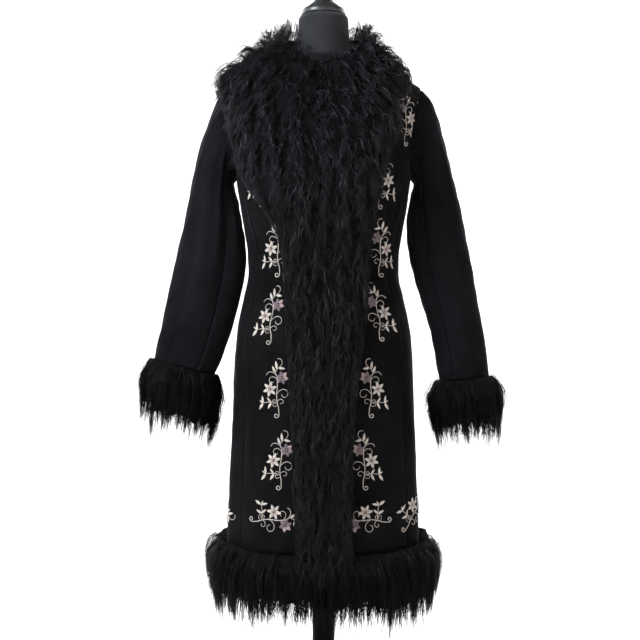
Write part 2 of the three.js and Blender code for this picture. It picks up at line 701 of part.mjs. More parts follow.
function hem(name, side) {
  const rings = [];
  const outlines = [];
  for (let i = 0; i < HEM_STATIONS; i += 1) {
    const angle = mix(-90, 90, i / (HEM_STATIONS - 1));
    const edge = bodyPoint(sideAngle(side, angle), HEM_Z);
    const out = bodyNormal(sideAngle(side, angle), HEM_Z).setZ(0).normalize();
    const end = i === 0 || i === HEM_STATIONS - 1;
    const puff = HEM_PUFF * THREE.MathUtils.smoothstep(angle, -66, -15);
    const outline = HEM_SECTION.map((row) => {
      const free = row.out > 10 && !end;
      const drop = row.up < -100 && !end ? LOCK_DROP * lock(i) : 0;
      return new THREE.Vector2(
        row.out * (free ? 1 + LOCK_SHARE * lock(i) : 1),
        row.up + row.puff * puff + drop,
      );
    });
    rings.push(outline.map(({ x, y }) => {
      const p = edge.clone().addScaledVector(out, x).setZ(HEM_Z + y);
      if (end) p.x = (side * SEAM_GAP) / 2;
      return p;
    }));
    if (end) outlines.push(outline);
  }
  add(`fur_hem_${name}`, loft(rings, outlines), "fur");
}

// The dress form, closed under the hips and at the top of the neck
function form() {
  const rings = FORM_ROWS.map((z, i) => Array.from({ length: FORM_POINTS }, (_, j) => {
    const angle = (360 * j) / FORM_POINTS;
    const inset = SUEDE + formRoom(z) + (i === 0 ? FORM_EDGE : 0);
    return bodyPoint(angle, z).addScaledVector(bodyNormal(angle, z), -inset);
  }));
  NECK.forEach(({ z, half, depth }) => {
    rings.push(Array.from({ length: FORM_POINTS }, (_, j) => {
      const turn = radians((360 * j) / FORM_POINTS);
      return new THREE.Vector3(
        half * Math.cos(turn),
        NECK_MIDDLE_Y + depth * Math.sin(turn),
        z,
      );
    }));
  });
  rings[0].forEach((p) => p.setZ(FORM_ROWS[0]));
  const outline = (ring) => ring.map((p) => new THREE.Vector2(p.x, p.y));
  add("form_torso", loft(rings, [outline(rings[0]), outline(rings[rings.length - 1])]), "form");
}

function turned(name, profile, z, material) {
  const points = profile.map(([radius, height]) => new THREE.Vector2(radius, height));
  const mesh = add(name, new THREE.LatheGeometry(points, TURNED_POINTS), material);
  mesh.rotation.x = Math.PI / 2;
  mesh.position.z = z;
}

function post() {
  const [foot, head] = [BASE_HEIGHT + SEAM_GAP, FORM_ROWS[0] - SEAM_GAP];
  const mesh = add("stand_post", new THREE.CylinderGeometry(
    POST_HEAD_RADIUS, POST_FOOT_RADIUS, head - foot, TURNED_POINTS,
  ), "wood");
  mesh.rotation.x = Math.PI / 2;
  mesh.position.z = (foot + head) / 2;
}

const SIDES = [["left", 1, SLEEVE_LEFT], ["right", -1, SLEEVE_RIGHT]];
for (const [name, side, table] of SIDES) {
  bodyPanel(`front_${name}`, side, rowPlaces(frontFur(name)));
  bodyPanel(`side_${name}`, side, sidePlaces());
  bodyPanel(`back_${name}`, side, rowPlaces(backFur(name)).reverse());
  cuff(name, sleeve(name, side, table));
  trim(name, side);
  hem(name, side);
}
form();
turned("neck_cap", CAP_PROFILE, CAP_Z, "wood");
turned("stand_base", BASE_PROFILE, 0, "wood");
post();

export default coat;
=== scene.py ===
# %% [markdown]
# # A long suede coat with curly lamb trim, set out on a dress form
#
# The real coat is cut from black suede with a brushed nap. A strip of long curly lambskin runs
# down each front edge, opens into wide lapels and stands round the neck as a collar. More of it
# hangs from the hem and the sleeves. Sprays of flowers are stitched down the fronts and round
# the skirt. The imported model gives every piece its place, and this lesson gives each its finish.

import math

import bpy
import numpy as np
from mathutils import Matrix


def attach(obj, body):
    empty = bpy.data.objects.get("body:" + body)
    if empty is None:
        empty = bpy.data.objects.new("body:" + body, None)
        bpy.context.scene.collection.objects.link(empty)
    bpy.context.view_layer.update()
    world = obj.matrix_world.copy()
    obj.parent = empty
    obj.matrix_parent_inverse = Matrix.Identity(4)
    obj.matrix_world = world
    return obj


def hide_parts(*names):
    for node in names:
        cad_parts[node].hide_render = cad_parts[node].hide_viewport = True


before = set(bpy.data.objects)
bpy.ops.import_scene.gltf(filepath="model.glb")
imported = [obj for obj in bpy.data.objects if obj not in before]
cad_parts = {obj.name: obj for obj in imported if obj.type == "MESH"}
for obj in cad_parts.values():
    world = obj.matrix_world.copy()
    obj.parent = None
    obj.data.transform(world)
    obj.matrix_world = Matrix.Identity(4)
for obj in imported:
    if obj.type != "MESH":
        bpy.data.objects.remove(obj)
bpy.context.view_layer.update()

# %% [markdown]
# ## Camera
#
# The coat was photographed straight on, from a little over two metres, at about hip height. A
# camera at that distance gives the hem its slight view from above and the collar its slight
# view from below, which a long lens would flatten.

# %% Place the camera
CAMERA_X = -0.0068
CAMERA_DISTANCE = 2.2
CAMERA_HEIGHT = 0.879
FIELD_WIDTH = 1.2352  # what the photograph's width covers, at the form's middle

camera = bpy.data.objects.new("photo_camera", bpy.data.cameras.new("photo_camera"))
camera.location = (CAMERA_X, -CAMERA_DISTANCE, CAMERA_HEIGHT)
camera.rotation_euler = (math.radians(90), 0, 0)
camera.data.angle = 2 * math.atan(FIELD_WIDTH / 2 / CAMERA_DISTANCE)
bpy.context.scene.collection.objects.link(camera)
bpy.context.scene.camera = camera
print("camera angle:", round(math.degrees(camera.data.angle), 2))

# %% [markdown]
# ## Helpers for meshes
#
# Every piece here is worked out as arrays of points, because a coat is made of smooth surfaces
# and thousands of like hairs. One helper turns arrays into a Blender object, and another closes
# the edges between the two faces of a piece of cloth. Measures are kept as tables, whose rows a
# third helper names by their columns.


def make_piece(name, points, faces, materials, face_slots=None, node=None):
    sizes = np.concatenate([np.full(len(part), part.shape[1]) for part in faces])
    corners = np.concatenate([part.ravel() for part in faces])
    mesh = bpy.data.meshes.new(name)
    mesh.vertices.add(len(points))
    mesh.vertices.foreach_set("co", np.asarray(points, np.float32).ravel())
    mesh.loops.add(len(corners))
    mesh.loops.foreach_set("vertex_index", corners.astype(np.int32))
    mesh.polygons.add(len(sizes))
    starts = np.concatenate([[0], np.cumsum(sizes)[:-1]])
    mesh.polygons.foreach_set("loop_start", starts.astype(np.int32))
    mesh.polygons.foreach_set("use_smooth", np.ones(len(sizes), bool))
    for material in materials:
        mesh.materials.append(material)
    if face_slots is not None:
        mesh.polygons.foreach_set("material_index", np.asarray(face_slots, np.int32))
    mesh.update(calc_edges=True)
    mesh.validate()
    made = bpy.data.objects.new(name, mesh)
    bpy.context.scene.collection.objects.link(made)
    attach(made, "root")
    if node:
        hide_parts(node)
    return made


# %% Close a wall between two grids of points
def grid_ids(shape, ring=False, start=0):
    """Numbers of a grid's points. A ring ends with its first column again."""
    ids = start + np.arange(shape[0] * shape[1]).reshape(shape[:2])
    return np.hstack([ids, ids[:, :1]]) if ring else ids


def grid_faces(ids):
    return np.stack([ids[:-1, :-1], ids[:-1, 1:], ids[1:, 1:], ids[1:, :-1]], -1).reshape(-1, 4)


def wall(outer, inner, ring=False):
    ids = grid_ids(outer.shape, ring)
    shift = outer.shape[0] * outer.shape[1]
    face = grid_faces(ids)
    rims = [(ids[0], True), (ids[-1], False)]
    if not ring:
        rims += [(ids[:, 0], False), (ids[:, -1], True)]
    faces = [face, face[:, ::-1] + shift]
    for line, turned_round in rims:
        rim = np.stack([line[:-1], line[:-1] + shift, line[1:] + shift, line[1:]], -1)
        faces.append(rim if turned_round else rim[:, ::-1])
    points = np.concatenate([outer.reshape(-1, 3), inner.reshape(-1, 3)])
    return points, facing_out(points, faces)


def facing_out(points, faces):
    """The faces of a closed body, turned round where they enclose it from inside."""
    volume = sum(
        np.einsum("ij,ij->", points[part[:, 0]],
                  np.cross(points[part[:, i]], points[part[:, i + 1]]))
        for part in faces for i in range(1, part.shape[1] - 1)
    )
    return faces if volume > 0 else [part[:, ::-1] for part in faces]


def unit(vectors):
    length = np.linalg.norm(vectors, axis=-1, keepdims=True)
    return vectors / np.maximum(length, 1e-12)


def mix(a, b, share):
    return a + (b - a) * share


def smoothstep(value, low, high):
    t = np.clip((value - low) / (high - low), 0, 1)
    return t * t * (3 - 2 * t)


# %% Name a table's columns and draw smooth curves through them
def table(names, *rows):
    """Rows of measures, each under the names of the table's columns."""
    return [dict(zip(names.split(), row)) for row in rows]


def curve(rows, key, column):
    """A smooth line through one column, which never swings past its values."""
    x = np.array([row[key] for row in rows], float)
    y = np.array([row[column] for row in rows], float)
    step = np.diff(y) / np.diff(x)
    both = step[:-1] * step[1:]
    slope = np.zeros(len(x))
    total = np.where(both > 0, step[:-1] + step[1:], 1)
    slope[1:-1] = np.where(both > 0, 2 * both / total, 0)

    def at(value):
        value = np.asarray(value, float)
        i = np.clip(np.searchsorted(x, value, side="right") - 1, 0, len(x) - 2)
        span = x[i + 1] - x[i]
        t = np.clip((value - x[i]) / span, 0, 1)
        ease = t * t * (3 - 2 * t)
        bow = span * t * (1 - t) * ((1 - t) * slope[i] - t * slope[i + 1])
        return y[i] + (y[i + 1] - y[i]) * ease + bow

    return at


def curves(rows, key, columns):
    return [curve(rows, key, column) for column in columns.split()]


# %% [markdown]
# ## The body's surface
#
# The coat's panels are all cut from one surface, which follows the form loosely. Its sections
# are softened ovals whose width and depth come from a table, as a pattern cutter would measure
# them, and the skirt's soft folds are added on top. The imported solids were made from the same
# numbers, so every finished piece lies where its solid does.

# %% Measure the body by height
BODY = table("z half front back",
    (0.430, 0.1875, 0.132, 0.139), (0.452, 0.1870, 0.132, 0.138), (0.526, 0.1840, 0.130, 0.136),
    (0.614, 0.1805, 0.128, 0.134), (0.703, 0.1755, 0.125, 0.130), (0.792, 0.1720, 0.121, 0.125),
    (0.861, 0.1660, 0.114, 0.117), (0.918, 0.1550, 0.106, 0.106), (0.968, 0.1445, 0.099, 0.096),
    (1.002, 0.1455, 0.099, 0.093), (1.064, 0.1550, 0.112, 0.094), (1.115, 0.1630, 0.126, 0.097),
    (1.150, 0.1680, 0.126, 0.101), (1.200, 0.1740, 0.117, 0.104), (1.250, 0.1810, 0.101, 0.103),
    (1.290, 0.1860, 0.085, 0.097), (1.310, 0.1890, 0.076, 0.089), (1.322, 0.1870, 0.070, 0.084),
    (1.345, 0.1430, 0.060, 0.073), (1.362, 0.1080, 0.055, 0.064), (1.380, 0.0720, 0.051, 0.056),
    (1.400, 0.0600, 0.049, 0.050))
SKIRT_FOLDS = table("angle top swell width",
    (-24, 0.900, 0.0045, 8), (-4, 0.860, -0.005, 9), (17, 0.930, 0.006, 8),
    (44, 0.840, -0.004, 10), (66, 0.900, 0.006, 9), (90, 0.820, -0.004, 9), (113, 0.910, 0.005, 8),
    (138, 0.850, -0.005, 10), (161, 0.940, 0.006, 8), (181, 0.870, -0.005, 8),
    (201, 0.960, 0.0055, 7), (218, 0.820, -0.003, 8))
SECTION_ROUND = 2.25
SUEDE = 0.0018
SEAM_GAP = 0.0004
PELT_LIFT = 0.0008
HEM_Z, WAIST_Z = 0.452, 0.968
UP = np.array([0.0, 0.0, 1.0])

body_half, body_front, body_back = curves(BODY, "z", "half front back")
print("hem width:", 2 * float(body_half(HEM_Z)), "waist width:", 2 * float(body_half(WAIST_Z)))


# %% Find a point and its outward direction on the body
def fold_swell(angle, z):
    swell = np.zeros(np.broadcast(angle, z).shape)
    for fold in SKIRT_FOLDS:
        turn = (angle - fold["angle"] + 180) % 360 - 180
        grown = smoothstep(fold["top"] - z, 0, fold["top"] - HEM_Z)
        swell = swell + fold["swell"] * grown * np.exp(-((turn / fold["width"]) ** 2))
    return swell


def body_point(angle, z):
    angle, z = np.broadcast_arrays(np.asarray(angle, float), np.asarray(z, float))
    c, s = np.cos(np.radians(angle)), np.sin(np.radians(angle))
    half = body_half(z)
    depth = np.where(s < 0, body_front(z), body_back(z))
    power = 2 / SECTION_ROUND
    out = unit(np.stack([c / half, s / depth], -1)) * fold_swell(angle, z)[..., None]
    x = half * np.sign(c) * np.abs(c) ** power + out[..., 0]
    y = depth * np.sign(s) * np.abs(s) ** power + out[..., 1]
    return np.stack([x, y, z], -1)


def body_normal(angle, z, turn=0.8, step=0.0015):
    across = body_point(angle + turn, z) - body_point(angle - turn, z)
    upward = body_point(angle, z + step) - body_point(angle, z - step)
    return unit(np.cross(across, upward))


def side_angle(side, angle):
    return angle if side > 0 else 180 - angle


def on_body(side, angle, z, lift=0.0):
    turned = side_angle(side, angle)
    return body_point(turned, z) + body_normal(turned, z) * np.asarray(lift)[..., None]


# %% [markdown]
# ## Where the panels run
#
# Each front and back is a stack of rows from its centre edge to the long body seam. Over the
# bust the rows fan out: they start on the front edge and then the neckline, and end on the
# armhole. The same rows carry the fur, so the trim lies exactly on the suede.

# %% Set the panels' rows
ARMHOLE_JOIN_Z, UNDERARM_Z, SHOULDER_Z = 1.195, 1.150, 1.322
NECK_SIDE_Z, NECK_FRONT_Z, NECK_BACK_Z = 1.380, 1.335, 1.390
SEAM_ANGLE, ARMHOLE_ANGLE, SEAM_TURN_Z = 36, 23, 1.000
PANEL_ROWS = np.array([
    0.452, 0.500, 0.550, 0.600, 0.652, 0.705, 0.758, 0.808, 0.852, 0.892, 0.930, 0.968, 1.005,
    1.045, 1.085, 1.122, 1.158, 1.195,
])
FAN_ROWS = 9
FRONT_CENTRE_Z = [1.195, 1.240, 1.288, NECK_FRONT_Z]
BACK_CENTRE_Z = [1.195, 1.262, 1.305, 1.348, NECK_BACK_Z]
FIRST_FAN = len(PANEL_ROWS) - 1
LAST_ROW = FIRST_FAN + FAN_ROWS


def long_seam_angle(z):
    return mix(SEAM_ANGLE, ARMHOLE_ANGLE, smoothstep(z, SEAM_TURN_Z, ARMHOLE_JOIN_Z))


def row_ends(face, row):
    """Start and end, as angle and height, of any row between the hem, 0, and the shoulder."""
    row = np.asarray(row, float)
    plain_z = np.interp(row, np.arange(len(PANEL_ROWS)), PANEL_ROWS)
    fan = np.clip(row - FIRST_FAN, 0, FAN_ROWS)
    centre = FRONT_CENTRE_Z if face < 0 else BACK_CENTRE_Z
    steps = len(centre) - 1
    round_neck = np.clip((fan - steps) / (FAN_ROWS - steps), 0, 1)
    neck_angle = 90 * (1 - round_neck)
    neck_z = mix(centre[-1], NECK_SIDE_Z, np.cos(np.radians(neck_angle)))
    centre_z = np.interp(fan, np.arange(len(centre)), centre)
    start_z = np.where(fan > steps, neck_z, np.where(fan > 0, centre_z, plain_z))
    quarter = np.pi / 2 * fan / FAN_ROWS
    arm_angle = ARMHOLE_ANGLE * np.maximum(np.cos(quarter), 0) ** 0.8
    arm_z = mix(ARMHOLE_JOIN_Z, SHOULDER_Z, np.sin(quarter))
    end_angle = np.where(fan > 0, arm_angle, long_seam_angle(plain_z))
    end_z = np.where(fan > 0, arm_z, plain_z)
    return neck_angle * face, start_z, end_angle * face, end_z


def on_row(face, row, share):
    start_angle, start_z, end_angle, end_z = row_ends(face, row)
    return mix(start_angle, end_angle, share), mix(start_z, end_z, share)


print("rows of a front panel:", LAST_ROW + 1)

# %% [markdown]
# ## Finishes
#
# Suede, wool, knitted cover, thread and painted wood all have a fine grain that breaks up their
# colour and catches the light. That grain is one node group with its own scale and strength in
# each material, so it is built once. A second group lays fine ribs, for the knitted cover and
# for the threads. The sleeves get a lighter copy of the suede with more sheen, which is painted
# light. The wool has a lighter copy round the collar, which is painted light, and a darker one at
# the hem and cuffs, which is painted shade. The stand's post and base get a darker copy of the
# black paint, which is painted shade under the coat.

# %% Build the shared grain
FIBRE_SHARE, PATCH_SHARE = 0.55, 0.6


def new_group(name, inputs, outputs):
    group = bpy.data.node_groups.new(name, "ShaderNodeTree")
    for label, kind, value in inputs:
        socket = group.interface.new_socket(label, in_out="INPUT", socket_type=kind)
        socket.default_value = value
    for label, kind in outputs:
        group.interface.new_socket(label, in_out="OUTPUT", socket_type=kind)
    return group, group.nodes.new("NodeGroupInput"), group.nodes.new("NodeGroupOutput")


def set_inputs(node, values):
    """Sets a shader node's inputs, whose names are written with _ for a space."""
    for label, value in values.items():
        node.inputs[label.replace("_", " ")].default_value = value


def add_node(tree, kind, **values):
    node = tree.nodes.new("ShaderNode" + kind)
    set_inputs(node, values)
    return node


def fibre_grain_group():
    group, given, made = new_group(
        "fibre_grain",
        [("Dark", "NodeSocketColor", (0.01, 0.01, 0.01, 1)),
         ("Light", "NodeSocketColor", (0.03, 0.03, 0.03, 1)),
         ("Patch Scale", "NodeSocketFloat", 20.0),
         ("Fibre Scale", "NodeSocketFloat", 900.0)],
        [("Color", "NodeSocketColor"), ("Height", "NodeSocketFloat"),
         ("Roughness", "NodeSocketFloat")],
    )
    join = group.links.new
    place = add_node(group, "TexCoord")
    patches, fibres = [add_node(group, "TexNoise", Detail=4.0) for _ in range(2)]
    for noise, scale in ((patches, "Patch Scale"), (fibres, "Fibre Scale")):
        join(place.outputs["Object"], noise.inputs["Vector"])
        join(given.outputs[scale], noise.inputs["Scale"])
    blend, patch_part = add_node(group, "Math"), add_node(group, "Math")
    blend.operation, blend.inputs[1].default_value = "MULTIPLY_ADD", FIBRE_SHARE
    patch_part.operation, patch_part.inputs[1].default_value = "MULTIPLY", PATCH_SHARE
    join(fibres.outputs["Fac"], blend.inputs[0])
    join(patches.outputs["Fac"], patch_part.inputs[0])
    join(patch_part.outputs[0], blend.inputs[2])
    spread = add_node(group, "MapRange", From_Min=0.38, From_Max=0.78)
    join(blend.outputs[0], spread.inputs["Value"])
    tint = add_node(group, "Mix")
    tint.data_type = "RGBA"
    join(spread.outputs[0], tint.inputs["Factor"])
    join(given.outputs["Dark"], tint.inputs["A"])
    join(given.outputs["Light"], tint.inputs["B"])
    rough = add_node(group, "MapRange", To_Min=0.75, To_Max=1.0)
    join(fibres.outputs["Fac"], rough.inputs["Value"])
    join(tint.outputs["Result"], made.inputs["Color"])
    join(blend.outputs[0], made.inputs["Height"])
    join(rough.outputs[0], made.inputs["Roughness"])
    return group


def fine_ribs_group():
    group, given, made = new_group(
        "fine_ribs",
        [("Scale", "NodeSocketFloat", 400.0), ("Waver", "NodeSocketFloat", 1.0)],
        [("Height", "NodeSocketFloat")],
    )
    join = group.links.new
    place, ribs = add_node(group, "TexCoord"), add_node(group, "TexWave", Detail=1.0)
    ribs.bands_direction = "DIAGONAL"
    join(place.outputs["Object"], ribs.inputs["Vector"])
    join(given.outputs["Scale"], ribs.inputs["Scale"])
    join(given.outputs["Waver"], ribs.inputs["Distortion"])
    join(ribs.outputs["Fac"], made.inputs["Height"])
    return group


fibre_grain = fibre_grain_group()
fine_ribs = fine_ribs_group()
print("shared groups:", [group.name for group in (fibre_grain, fine_ribs)])


# %% Make the finishes
def finish(name, dark, light, patch=20.0, fibre=900.0, bump=0.3, bump_depth=0.0006,
           ribs=None, **fixed):
    material = bpy.data.materials.new(name)
    material.use_nodes = True
    tree = material.node_tree
    join, shader = tree.links.new, tree.nodes["Principled BSDF"]
    grain = add_node(tree, "Group")
    grain.node_tree = fibre_grain
    set_inputs(grain, dict(Dark=(*dark, 1), Light=(*light, 1), Patch_Scale=patch,
                           Fibre_Scale=fibre))
    relief = add_node(tree, "Bump", Strength=bump, Distance=bump_depth)
    join(grain.outputs["Color"], shader.inputs["Base Color"])
    join(relief.outputs["Normal"], shader.inputs["Normal"])
    height = grain.outputs["Height"]
    if ribs:
        lines, both = add_node(tree, "Group"), add_node(tree, "Math")
        lines.node_tree = fine_ribs
        lines.inputs["Scale"].default_value = ribs
        join(lines.outputs["Height"], both.inputs[0])
        join(height, both.inputs[1])
        height = both.outputs[0]
    join(height, relief.inputs["Height"])
    if "Roughness" not in fixed:
        join(grain.outputs["Roughness"], shader.inputs["Roughness"])
    set_inputs(shader, fixed)
    return material


def grey(value):
    return (value, value, value)


BRUSHED = dict(patch=11, fibre=600, bump=0.5, Sheen_Roughness=0.40, Specular_IOR_Level=0.04)
suede = finish(
    "brushed_black_suede", (0.0010, 0.0010, 0.0010), (0.0072, 0.0070, 0.0072),
    Sheen_Weight=0.07, Sheen_Tint=(0.55, 0.58, 0.65, 1), **BRUSHED)
# A lighter copy of the suede, with more sheen, for the sleeves: painted light.
lit_sleeve_suede = finish(
    "brushed_black_suede_painted_light", (0.0013, 0.0013, 0.0015), (0.0090, 0.0092, 0.0104),
    Sheen_Weight=0.09, Sheen_Tint=(0.52, 0.57, 0.68, 1), **BRUSHED)
LONG_WOOL = dict(patch=55, fibre=300, bump=0.2)
# A lighter copy of the wool round the collar and lapels: painted light.
lit_collar_wool = finish(
    "black_lamb_wool_painted_light", (0.0042, 0.0041, 0.0048), (0.0124, 0.0118, 0.0139),
    Roughness=0.46, Specular_IOR_Level=0.12, **LONG_WOOL)
wool = finish(
    "black_lamb_wool", (0.0022, 0.0021, 0.0023), (0.0098, 0.0090, 0.0100),
    Roughness=0.46, Specular_IOR_Level=0.11, **LONG_WOOL)
# A darker copy of the wool for the hem and cuffs: painted shade.
shaded_low_wool = finish(
    "black_lamb_wool_painted_shade", (0.0006, 0.0005, 0.0005), (0.0038, 0.0033, 0.0033),
    Roughness=0.50, Specular_IOR_Level=0.07, **LONG_WOOL)
dense_wool = finish(
    "shaded_wool_roots", (0.0019, 0.0018, 0.0021), (0.0068, 0.0065, 0.0074), patch=60,
    fibre=260, bump=0.9, bump_depth=0.003, Specular_IOR_Level=0.05)
jersey = finish(
    "black_knit_cover", (0.014, 0.0145, 0.0155), (0.027, 0.0275, 0.029), patch=30,
    fibre=1200, bump=0.35, ribs=500, Sheen_Weight=0.1, Sheen_Roughness=0.5,
    Specular_IOR_Level=0.12)
PAINTED = dict(patch=12, fibre=160, bump=0.08)
paint = finish(
    "black_satin_paint", grey(0.010), grey(0.018), Roughness=0.35, Coat_Weight=0.12,
    Coat_Roughness=0.25, **PAINTED)
# A darker copy of the black paint for the post and base: painted shade under the coat.
shaded_paint = finish(
    "black_paint_painted_shade", grey(0.0015), grey(0.003), Roughness=0.6, Specular_IOR_Level=0.04,
    **PAINTED)
THREAD_COLOURS = {
    "cream": ((0.38, 0.34, 0.29), (0.72, 0.65, 0.57)),
    "blush": ((0.30, 0.21, 0.19), (0.50, 0.37, 0.34)),
    "mauve": ((0.09, 0.065, 0.075), (0.20, 0.14, 0.16)),
}
threads = {
    name: finish(f"{name}_thread", dark, light, patch=90, fibre=1500, bump=0.4, ribs=900,
                 Roughness=0.5, Sheen_Weight=0.2)
    for name, (dark, light) in THREAD_COLOURS.items()
}
print("finishes:", [material.name for material in bpy.data.materials if material.use_nodes])

# %% [markdown]
# ## Suede panels
#
# A suede coat is a shell of panels, each about two millimetres thick, seamed edge to edge. At a
# seam the suede rolls in, and the turned allowance beneath makes a low ridge beside it. So each
# panel is a closed wall with extra columns at its seam, where a narrow groove and ridge are
# pressed into the outer face. Light, slow waves over the whole surface keep it from looking like
# moulded plastic.

# %% Ease the suede and press in its seams
EDGE_STEPS = np.array([0.0, 0.0007, 0.0018, 0.0036, 0.0065])
rng = np.random.default_rng(20)
WAVES = [dict(way=unit(rng.normal(size=3) * np.array([1, 1, 0.45])), length=length,
              shift=rng.uniform(0, 6.28))
         for length in (0.021, 0.028, 0.037, 0.047, 0.060, 0.085)]


def ease(points, depth=0.00045):
    """Slow waves over all of the suede."""
    waves = [np.sin(points @ w["way"] * 2 * np.pi / w["length"] + w["shift"]) for w in WAVES]
    return depth * sum(waves) / 2


GROOVE_DEPTH, GROOVE_WIDTH = 0.0009, 0.0016
RIDGE_HEIGHT, RIDGE_PLACE, RIDGE_WIDTH = 0.0006, 0.005, 0.0026
BODY_RADIUS = 0.15
CREASES = table("top low top_angle low_angle width lift waver",
    (1.140, 0.985, -37, -47, 0.0050, 0.0030, 1.3),
    (1.010, 0.835, -47, -39, 0.0045, 0.0027, 1.6),
    (0.940, 0.690, -34, -40, 0.0055, 0.0024, 1.0),
    (0.770, 0.560, -44, -41, 0.0080, 0.0030, 0.8),
    (1.120, 1.000, -30, -33, 0.0045, 0.0022, 1.4),
    (1.080, 0.930, 47, 39, 0.0060, 0.0027, 1.2),
    (0.980, 0.800, 56, 62, 0.0065, 0.0024, 1.1))


def creases(angle, z):
    """Soft ridges that run down beside the long seams, where the waist draws the suede in."""
    total = 0
    for row in CREASES:
        along = (row["top"] - z) / (row["top"] - row["low"])
        path = mix(row["top_angle"], row["low_angle"], along)
        path = path + row["waver"] * np.sin(z * 70 + row["top"] * 40)
        away = np.radians(angle - path) * BODY_RADIUS
        faded = smoothstep(along, 0, 0.3) * smoothstep(1 - along, 0, 0.4)
        total = total + row["lift"] * faded * np.exp(-((away / row["width"]) ** 2))
    return total


def seam_relief(distance):
    """The rolled-in edge of a seam, and the low ridge of the allowance beneath."""
    groove = -GROOVE_DEPTH * np.exp(-((distance / GROOVE_WIDTH) ** 2))
    ridge = RIDGE_HEIGHT * np.exp(-(((distance - RIDGE_PLACE) / RIDGE_WIDTH) ** 2))
    return groove + ridge


def seam_columns(width, count, first=True, last=True):
    """Shares across a strip, close together at its seamed edges."""
    near = EDGE_STEPS / width
    start = near if first else np.array([0.0])
    end = 1 - (near if last else np.array([0.0]))
    middle = np.linspace(start[-1], end[-1], count + 2)[1:-1]
    return np.concatenate([start, middle, end[::-1]])


def run(points, axis):
    """Distance along a grid of points from its first row or column."""
    step = np.linalg.norm(np.diff(points, axis=axis), axis=-1)
    first = np.zeros_like(np.take(step, [0], axis=axis))
    return np.concatenate([first, np.cumsum(step, axis=axis)], axis=axis)


def draw_in(points):
    """Draws a panel's edges in by half the seam gap."""
    drawn = points.copy()
    for here, inside in ((0, 1), (-1, -2)):
        drawn[here] += unit(points[inside] - points[here]) * SEAM_GAP / 2
        drawn[:, here] += unit(points[:, inside] - points[:, here]) * SEAM_GAP / 2
    return drawn


def cut_size(points):
    """The flat width, length and area that a grid of points was cut to."""
    wide, long = run(points, 1)[:, -1].max(), run(points, 0)[-1].max()
    diagonal = np.cross(points[1:, 1:] - points[:-1, :-1], points[1:, :-1] - points[:-1, 1:])
    return (float(wide), float(long)), float(np.linalg.norm(diagonal, axis=-1).sum() / 2)


def suede_piece(node, places, out, lift, material):
    """A closed wall of suede round a grid of places."""
    flat, area = cut_size(places)
    outer = draw_in(places + out * lift[..., None])
    inner = draw_in(places - out * SUEDE)
    points, faces = wall(outer, inner)
    made = make_piece(f"{node}_suede", points, faces, [material], node=node)
    area = min(area, flat[0] * flat[1])


# %% Cut the fronts, sides and backs
def body_panel(node, side, angles, heights, seams):
    places = body_point(side_angle(side, angles), heights)
    normals = body_normal(side_angle(side, angles), heights)
    across = run(places, 1)
    lift = ease(places) + creases(angles, heights)
    if "start" in seams:
        lift = lift + seam_relief(across)
    if "end" in seams:
        lift = lift + seam_relief(across[:, -1:] - across)
    suede_piece(node, places, normals, lift, suede)


def panel_rows(fine_plain=5, fine_fan=3):
    plain = np.linspace(0, FIRST_FAN, FIRST_FAN * fine_plain + 1)
    fan = np.linspace(FIRST_FAN, LAST_ROW, FAN_ROWS * fine_fan + 1)[1:]
    return np.concatenate([plain, fan])


def side_places(rows, across):
    """Angles and heights of a side panel, its top cut down to the underarm."""
    top = mix(UNDERARM_Z, ARMHOLE_JOIN_Z, np.abs(across) ** 2.2)
    heights = HEM_Z + (rows - HEM_Z) * (top - HEM_Z) / (ARMHOLE_JOIN_Z - HEM_Z)
    return across * long_seam_angle(heights), heights


ROWS = panel_rows()
SHARES = {"front": seam_columns(0.19, 26), "back": seam_columns(0.19, 18)}
SIDE_ACROSS = 2 * seam_columns(0.17, 15) - 1
SIDES = [("left", 1), ("right", -1)]
for name, side in SIDES:
    for part, face in (("front", -1), ("back", 1)):
        angles, heights = on_row(face, ROWS[:, None], SHARES[part][None, :])
        seams = ("end",) if part == "front" else ("start", "end")
        body_panel(f"{part}_{name}", side, angles, heights, seams)
    rows = np.linspace(HEM_Z, ARMHOLE_JOIN_Z, 90)
    angles, heights = side_places(rows[:, None], SIDE_ACROSS[None, :])
    body_panel(f"side_{name}", side, angles, heights, ("start", "end"))

# %% [markdown]
# ## Sleeves
#
# A set-in sleeve starts as the armhole's own edge and becomes an oval within a hand's width. It
# is cut in two: an under sleeve that continues the side panel, and a top sleeve. Long soft
# creases run down it, because the sleeve is empty and hangs a little away from the body.

